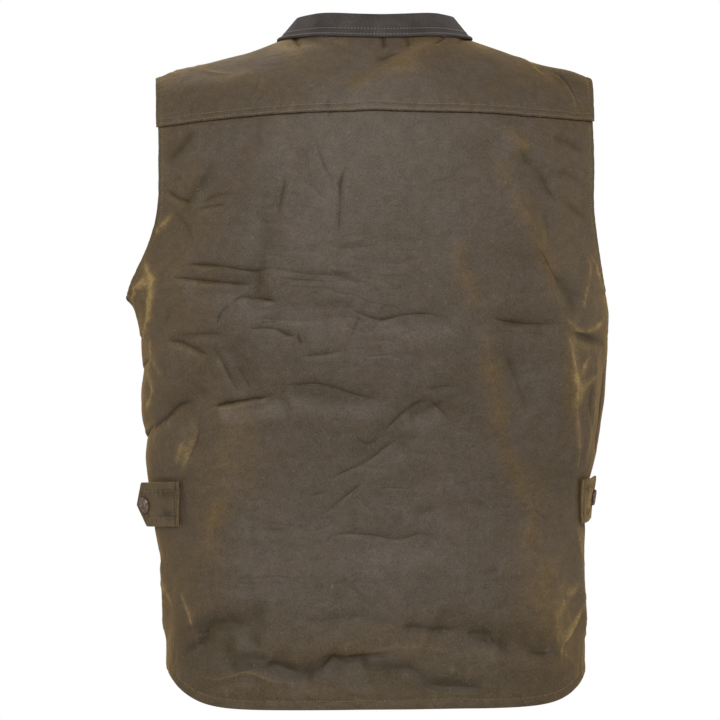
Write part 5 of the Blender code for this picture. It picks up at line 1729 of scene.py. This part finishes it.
def make_collar():
    """The stand collar: a foot on the cloth, and a wall that leans in and is round at its ends."""
    end = neck_turn(COLLAR_END_GAP)
    turns = np.linspace(-end, end, COLLAR_COLUMNS + 1)
    place = neck_node(turns)
    base, normal = form(*place), outward(*place)
    base = base + normal * fold_lift(base)[:, None]
    radial = np.stack([np.sin(turns), np.cos(turns), np.zeros(turns.shape)], axis=-1)
    lean = np.interp(np.abs(turns), COLLAR_LEAN_TURNS, COLLAR_LEANS)[:, None]
    up = np.array([0.0, 0.0, 1.0])
    rise = up * np.cos(lean) - radial * np.sin(lean)
    away = unit(radial - normal * np.sum(radial * normal, axis=-1, keepdims=True))
    face_out = radial * np.cos(lean) + up * np.sin(lean)
    bend = unit(normal + face_out)
    walk = walk_along(base)
    to_end = np.minimum(np.minimum(walk, walk[-1] - walk), COLLAR_END_ROUND)
    drop = COLLAR_END_ROUND - np.sqrt(COLLAR_END_ROUND ** 2 - (COLLAR_END_ROUND - to_end) ** 2)
    foot = WALL + 2 * GAP
    outs = [normal] * COLLAR_FOOT_ROWS + [bend]
    inner = [base + away * COLLAR_LAP * (1 - row / COLLAR_FOOT_ROWS) + normal * foot
             for row in range(COLLAR_FOOT_ROWS)] + [base + bend * foot]
    for height in np.linspace(0.0, 1.0, COLLAR_RISE_ROWS + 1)[1:]:
        tall = (height * COLLAR_HEIGHT - drop * height ** 2)[:, None]
        wave = COLLAR_WAVE * height * swell(base, COLLAR_WAVE_SIZE, SWELL_SEED)[:, None]
        inner.append(base + face_out * (foot + wave) + rise * tall)
        outs.append(face_out)
    inner, outs = np.array(inner), np.array(outs)
    outer = inner + outs * COLLAR_WALL
    paints = {"sewn": np.zeros(outer.shape[:2]), "walk": walk_along(outer, 1)}
    paints["sewn"][list(COLLAR_STITCH_ROWS)] = 1.0
    lift = np.full(outer.shape[:2], COLLAR_WALL)
    cloth("collar", inner, outs, lift, COLLAR_WALL, "collar_cloth", paints)
    stitches("collar", [(outer[row], outs[row]) for row in COLLAR_STITCH_ROWS], "collar_thread",
             COLLAR_STITCH_RADIUS, COLLAR_STITCH_LENGTH, COLLAR_STITCH_PITCH)


@cache
def tab_foot(side, start, level):
    """The point where a tab leaves the cloth, and the direction straight out of it there."""
    height = np.float64(TAB_CENTRE + level * TAB_HEIGHT)
    across = side * start / reach(1.0, side, height)
    seat = form(1.0, across, height)
    normal = outward(1.0, across, height)
    return seat + normal * (GAP + fold_lift(seat)), normal


def tab_point(tab, along, level, out=0.0):
    """A point of a tab: along from its sewn end, level from -0.5 to 0.5, out from its inside."""
    side, start, end_angle, lean, droop = tab
    foot, normal = tab_foot(side, start, level)
    first_angle = math.atan2(abs(normal[0]), normal[1])
    steps = np.linspace(0.0, along, FOLD_STEPS)
    angles = first_angle + (end_angle - first_angle) * ease(steps / TAB_BEND)
    ahead = np.trapz(np.cos(angles), steps)
    aside = np.trapz(np.sin(angles), steps)
    off = out + lean * level * along / TAB_LENGTH
    x = ahead + off * math.sin(angles[-1])
    y = off * math.cos(angles[-1]) - aside
    return foot + np.array([side * x, y, -droop * along / TAB_LENGTH])


@cache
def tab_seat(tab):
    """The cloth under a tab's snap, how far the tab's inside is from it, and its fold there."""
    side = tab[0]
    inside = tab_point(tab, TAB_LENGTH - TAB_SNAP_FROM_TIP, 0.0)
    face = np.repeat([1.0, -1.0], SEAT_SEARCH_STEPS)
    share = np.linspace(SEAT_SEARCH_FROM, 1.0, SEAT_SEARCH_STEPS)
    across = side * np.concatenate([share, share[::-1]])
    ring = form(face, across, np.full(face.shape, TAB_CENTRE))
    far = np.linalg.norm(ring - inside, axis=-1)
    seat = ring[np.argmin(far)]
    return seat, float(np.min(far)), float(fold_lift(seat))


def tab_end(along):
    """The line of stitches close to a tab's sewn end."""
    return bell(along - TAB_END_LINE, TAB_END_WIDTH)


def tab_relief(points, along, level):
    """How far a tab's outside stands up: swells, puckers across it and its turned edge."""
    from_edge = np.minimum((0.5 - np.abs(level)) * TAB_HEIGHT, TAB_LENGTH - along)
    from_row = from_edge - TAB_STITCH
    phase = TAB_PUCKER_TURN * swell(points, TAB_SWELL_SIZE, SWELL_SEED + 1)
    least, more = TAB_PUCKER_SHARES
    pucker = np.sin(along * 2 * math.pi / TAB_PUCKER + phase) ** TAB_PUCKER_POWER
    pucker = pucker * (least + more * swell(points, TAB_PUCKER, SWELL_SEED + 2))
    lift = TAB_SWELL * swell(points, TAB_SWELL_SIZE, SWELL_SEED)
    lift = lift + TAB_PUCKER_HEIGHT * pucker * bell(from_row, TAB_PUCKER_WIDTH)
    lift = lift - SEAM_DIP * bell(from_row, SEAM_DIP_WIDTH)
    return lift + TURNED_RISE * ease(-from_row / TURNED_STEP) - TAB_END_DIP * tab_end(along)


def make_tab(name, tab):
    """A pointed tab, sewn to the back at its straight end, with its rows of stitches."""
    inner, outer = np.zeros((2, TAB_ROWS + 1, TAB_COLUMNS + 1, 3))
    for row, level in enumerate(np.linspace(-0.5, 0.5, TAB_ROWS + 1)):
        length = TAB_LENGTH - TAB_POINT * 2 * abs(level)
        for column, share in enumerate(np.linspace(0.0, 1.0, TAB_COLUMNS + 1)):
            inner[row, column] = tab_point(tab, share * length, level)
            outer[row, column] = tab_point(tab, share * length, level, TAB_WALL)
    normal = unit(outer - inner)
    along = np.linspace(0.0, TAB_LENGTH, TAB_COLUMNS + 1)
    level = np.linspace(-0.5, 0.5, TAB_ROWS + 1)[:, None]
    lift = TAB_WALL + tab_relief(inner, along, level)
    rim = np.ones(lift.shape)
    rim[1:-1, 1:-1] = 0.0
    # Wear and painted tilt shading all over, gold of rubbed wax and painted sheen on raised parts,
    # a painted highlight along the rim, and painted shade in stitch lines, patches and at the sewn
    # end
    paints = {"wear_and_tilt_shade": np.full(lift.shape, TAB_WEAR_AND_TILT_SHADE),
              "ridge": lift * TAB_RUB_AND_SHEEN[name] / TAB_WALL + rim * TAB_EDGE_HIGHLIGHT,
              "trough": TAB_SEWN_SHADE * np.clip((TAB_WALL - lift) / SEAM_DIP, 0.0, 1.0)
              + TAB_PATCH * np.clip(swell(inner, TAB_PATCH_SIZE, WRINKLE_SEED), 0.0, 1.0)
              + TAB_END_SHADE * tab_end(along)}
    cloth(name, inner, normal, lift, TAB_WALL, "waxed_cotton", paints)
    level = 0.5 - TAB_STITCH / TAB_HEIGHT
    point = TAB_LENGTH - TAB_POINT * 2 * level - TAB_STITCH
    corners = [(TAB_STITCH_START, -level), (point, -level), (TAB_LENGTH - TAB_STITCH, 0.0),
               (point, level), (TAB_STITCH_START, level), (TAB_STITCH_START, -level)]
    rows = []
    for start, end in zip(corners, corners[1:]):
        spots = np.linspace(start, end, TAB_LINE_STEPS)
        under = np.array([tab_point(tab, *spot) for spot in spots])
        over = np.array([tab_point(tab, *spot, TAB_WALL) for spot in spots])
        out = unit(over - under)
        rows.append((over + out * tab_relief(under, *spots.T)[:, None], out))
    stitches(name, rows)


def turned(name, node, profile, radius, height, centre, axis):
    """A piece turned about its axis, in place of a plain solid."""
    axis = Vector(axis).normalized()
    twist = Vector((0.0, 0.0, 1.0)).rotation_difference(axis)
    points = []
    for far, up in profile:
        for turn in np.arange(TURNED_SIDES) * 2 * math.pi / TURNED_SIDES:
            beside, ahead = far * radius * math.cos(turn), far * radius * math.sin(turn)
            points.append(np.array(twist @ Vector((beside, ahead, up * height))) + centre)
    faces = tube(len(profile), TURNED_SIDES)
    thing = mesh_piece(name, np.array(points), faces, LOOKS["aged_copper"])
    thing.data.set_sharp_from_angle(angle=TURNED_ANGLE)
    settle(thing, node)


def make_tab_snap(side_name, tab):
    """The cap on a tab's outside, and the stud under it."""
    along = TAB_LENGTH - TAB_SNAP_FROM_TIP
    rise = SNAP_RADIUS / TAB_HEIGHT
    centre = tab_point(tab, along, 0.0, TAB_WALL)
    forward = tab_point(tab, along + SNAP_RADIUS, 0.0) - tab_point(tab, along - SNAP_RADIUS, 0.0)
    upward = tab_point(tab, along, rise) - tab_point(tab, along, -rise)
    axis = unit(np.cross(upward, forward) * tab[0])
    turned("snap_cap_" + side_name, "snap_" + side_name, CAP_PROFILE, SNAP_RADIUS, SNAP_HEIGHT,
           centre + axis * (GAP + SNAP_SEAT_GAP), axis)
    turned("stud_disc_" + side_name, "stud_" + side_name, STUD_PROFILE, STUD_RADIUS, STUD_HEIGHT,
           centre - axis * (TAB_WALL + STUD_HEIGHT + GAP), axis)


def make_front_snaps():
    """The caps down the middle of the placket."""
    for number, height in enumerate(FRONT_SNAP_HEIGHTS, start=1):
        face, path = np.float64(-1.0), np.float64(height)
        base, normal = form(face, np.float64(0.0), path), outward(face, np.float64(0.0), path)
        lift = 2 * GAP + WALL + SNAP_SEAT_GAP + float(fold_lift(base))
        turned(f"snap_cap_{number}", f"snap_front_{number}", CAP_PROFILE, SNAP_RADIUS, SNAP_HEIGHT,
               base + normal * lift, normal)


def make_stage():
    """A pale floor, a white studio with soft lights, and the eye."""
    bpy.ops.mesh.primitive_plane_add(size=FLOOR_SIZE, location=(0.0, 0.0, FLOOR_HEIGHT))
    floor = bpy.context.object
    floor.name = "floor"
    look = Look("pale_floor")
    look.set(Base_Color=rgb(*FLOOR_PALE), Roughness=0.9)
    floor.data.materials.append(look.material)
    world = bpy.data.worlds.new("studio")
    bpy.context.scene.world = world
    world.use_nodes = True
    nodes, links = world.node_tree.nodes, world.node_tree.links
    fill, white = nodes["Background"], nodes.new("ShaderNodeBackground")
    for background in (fill, white):
        background.inputs["Color"].default_value = rgb(*WHITE)
    fill.inputs["Strength"].default_value = FILL_STRENGTH
    ways, both = nodes.new("ShaderNodeLightPath"), nodes.new("ShaderNodeMixShader")
    links.new(ways.outputs["Is Camera Ray"], both.inputs["Fac"])
    links.new(fill.outputs["Background"], both.inputs[1])
    links.new(white.outputs["Background"], both.inputs[2])
    links.new(both.outputs["Shader"], nodes["World Output"].inputs["Surface"])
    middle = Vector((LOOK_AT[0], LOOK_AT[1], LOOK_AT[2] - HOLD_HEIGHT))
    for name, place, size, power, colour in LAMPS:
        lamp = bpy.data.lights.new(name, "AREA")
        lamp.shape = "RECTANGLE"
        lamp.size, lamp.size_y = size
        lamp.energy = power
        lamp.color = colour
        stand(bpy.data.objects.new(name, lamp), Vector(place), middle)
    eye = bpy.data.cameras.new("eye")
    eye.angle = 2 * math.atan(EYE_HALF_VIEW / EYE_FAR)
    camera = bpy.data.objects.new("eye", eye)
    stand(camera, middle + Vector(EYE_BACK * EYE_FAR), middle)
    bpy.context.scene.camera = camera
    bpy.context.scene.view_settings.view_transform = "Standard"


def stand(thing, place, target):
    """Puts a lamp or the eye at a place and turns it to a target."""
    thing.location = place
    thing.rotation_euler = (target - place).to_track_quat("-Z", "Y").to_euler()
    bpy.context.scene.collection.objects.link(thing)


make_looks()
make_stage()
make_back_panel()
make_yoke()
make_front("front_left", 1.0, 1.0)
make_front("front_right", -1.0, 0.0)
make_collar()
for side_name, side_tab in TABS.items():
    make_tab("side_tab_" + side_name, side_tab)
    make_tab_snap(side_name, side_tab)
make_front_snaps()
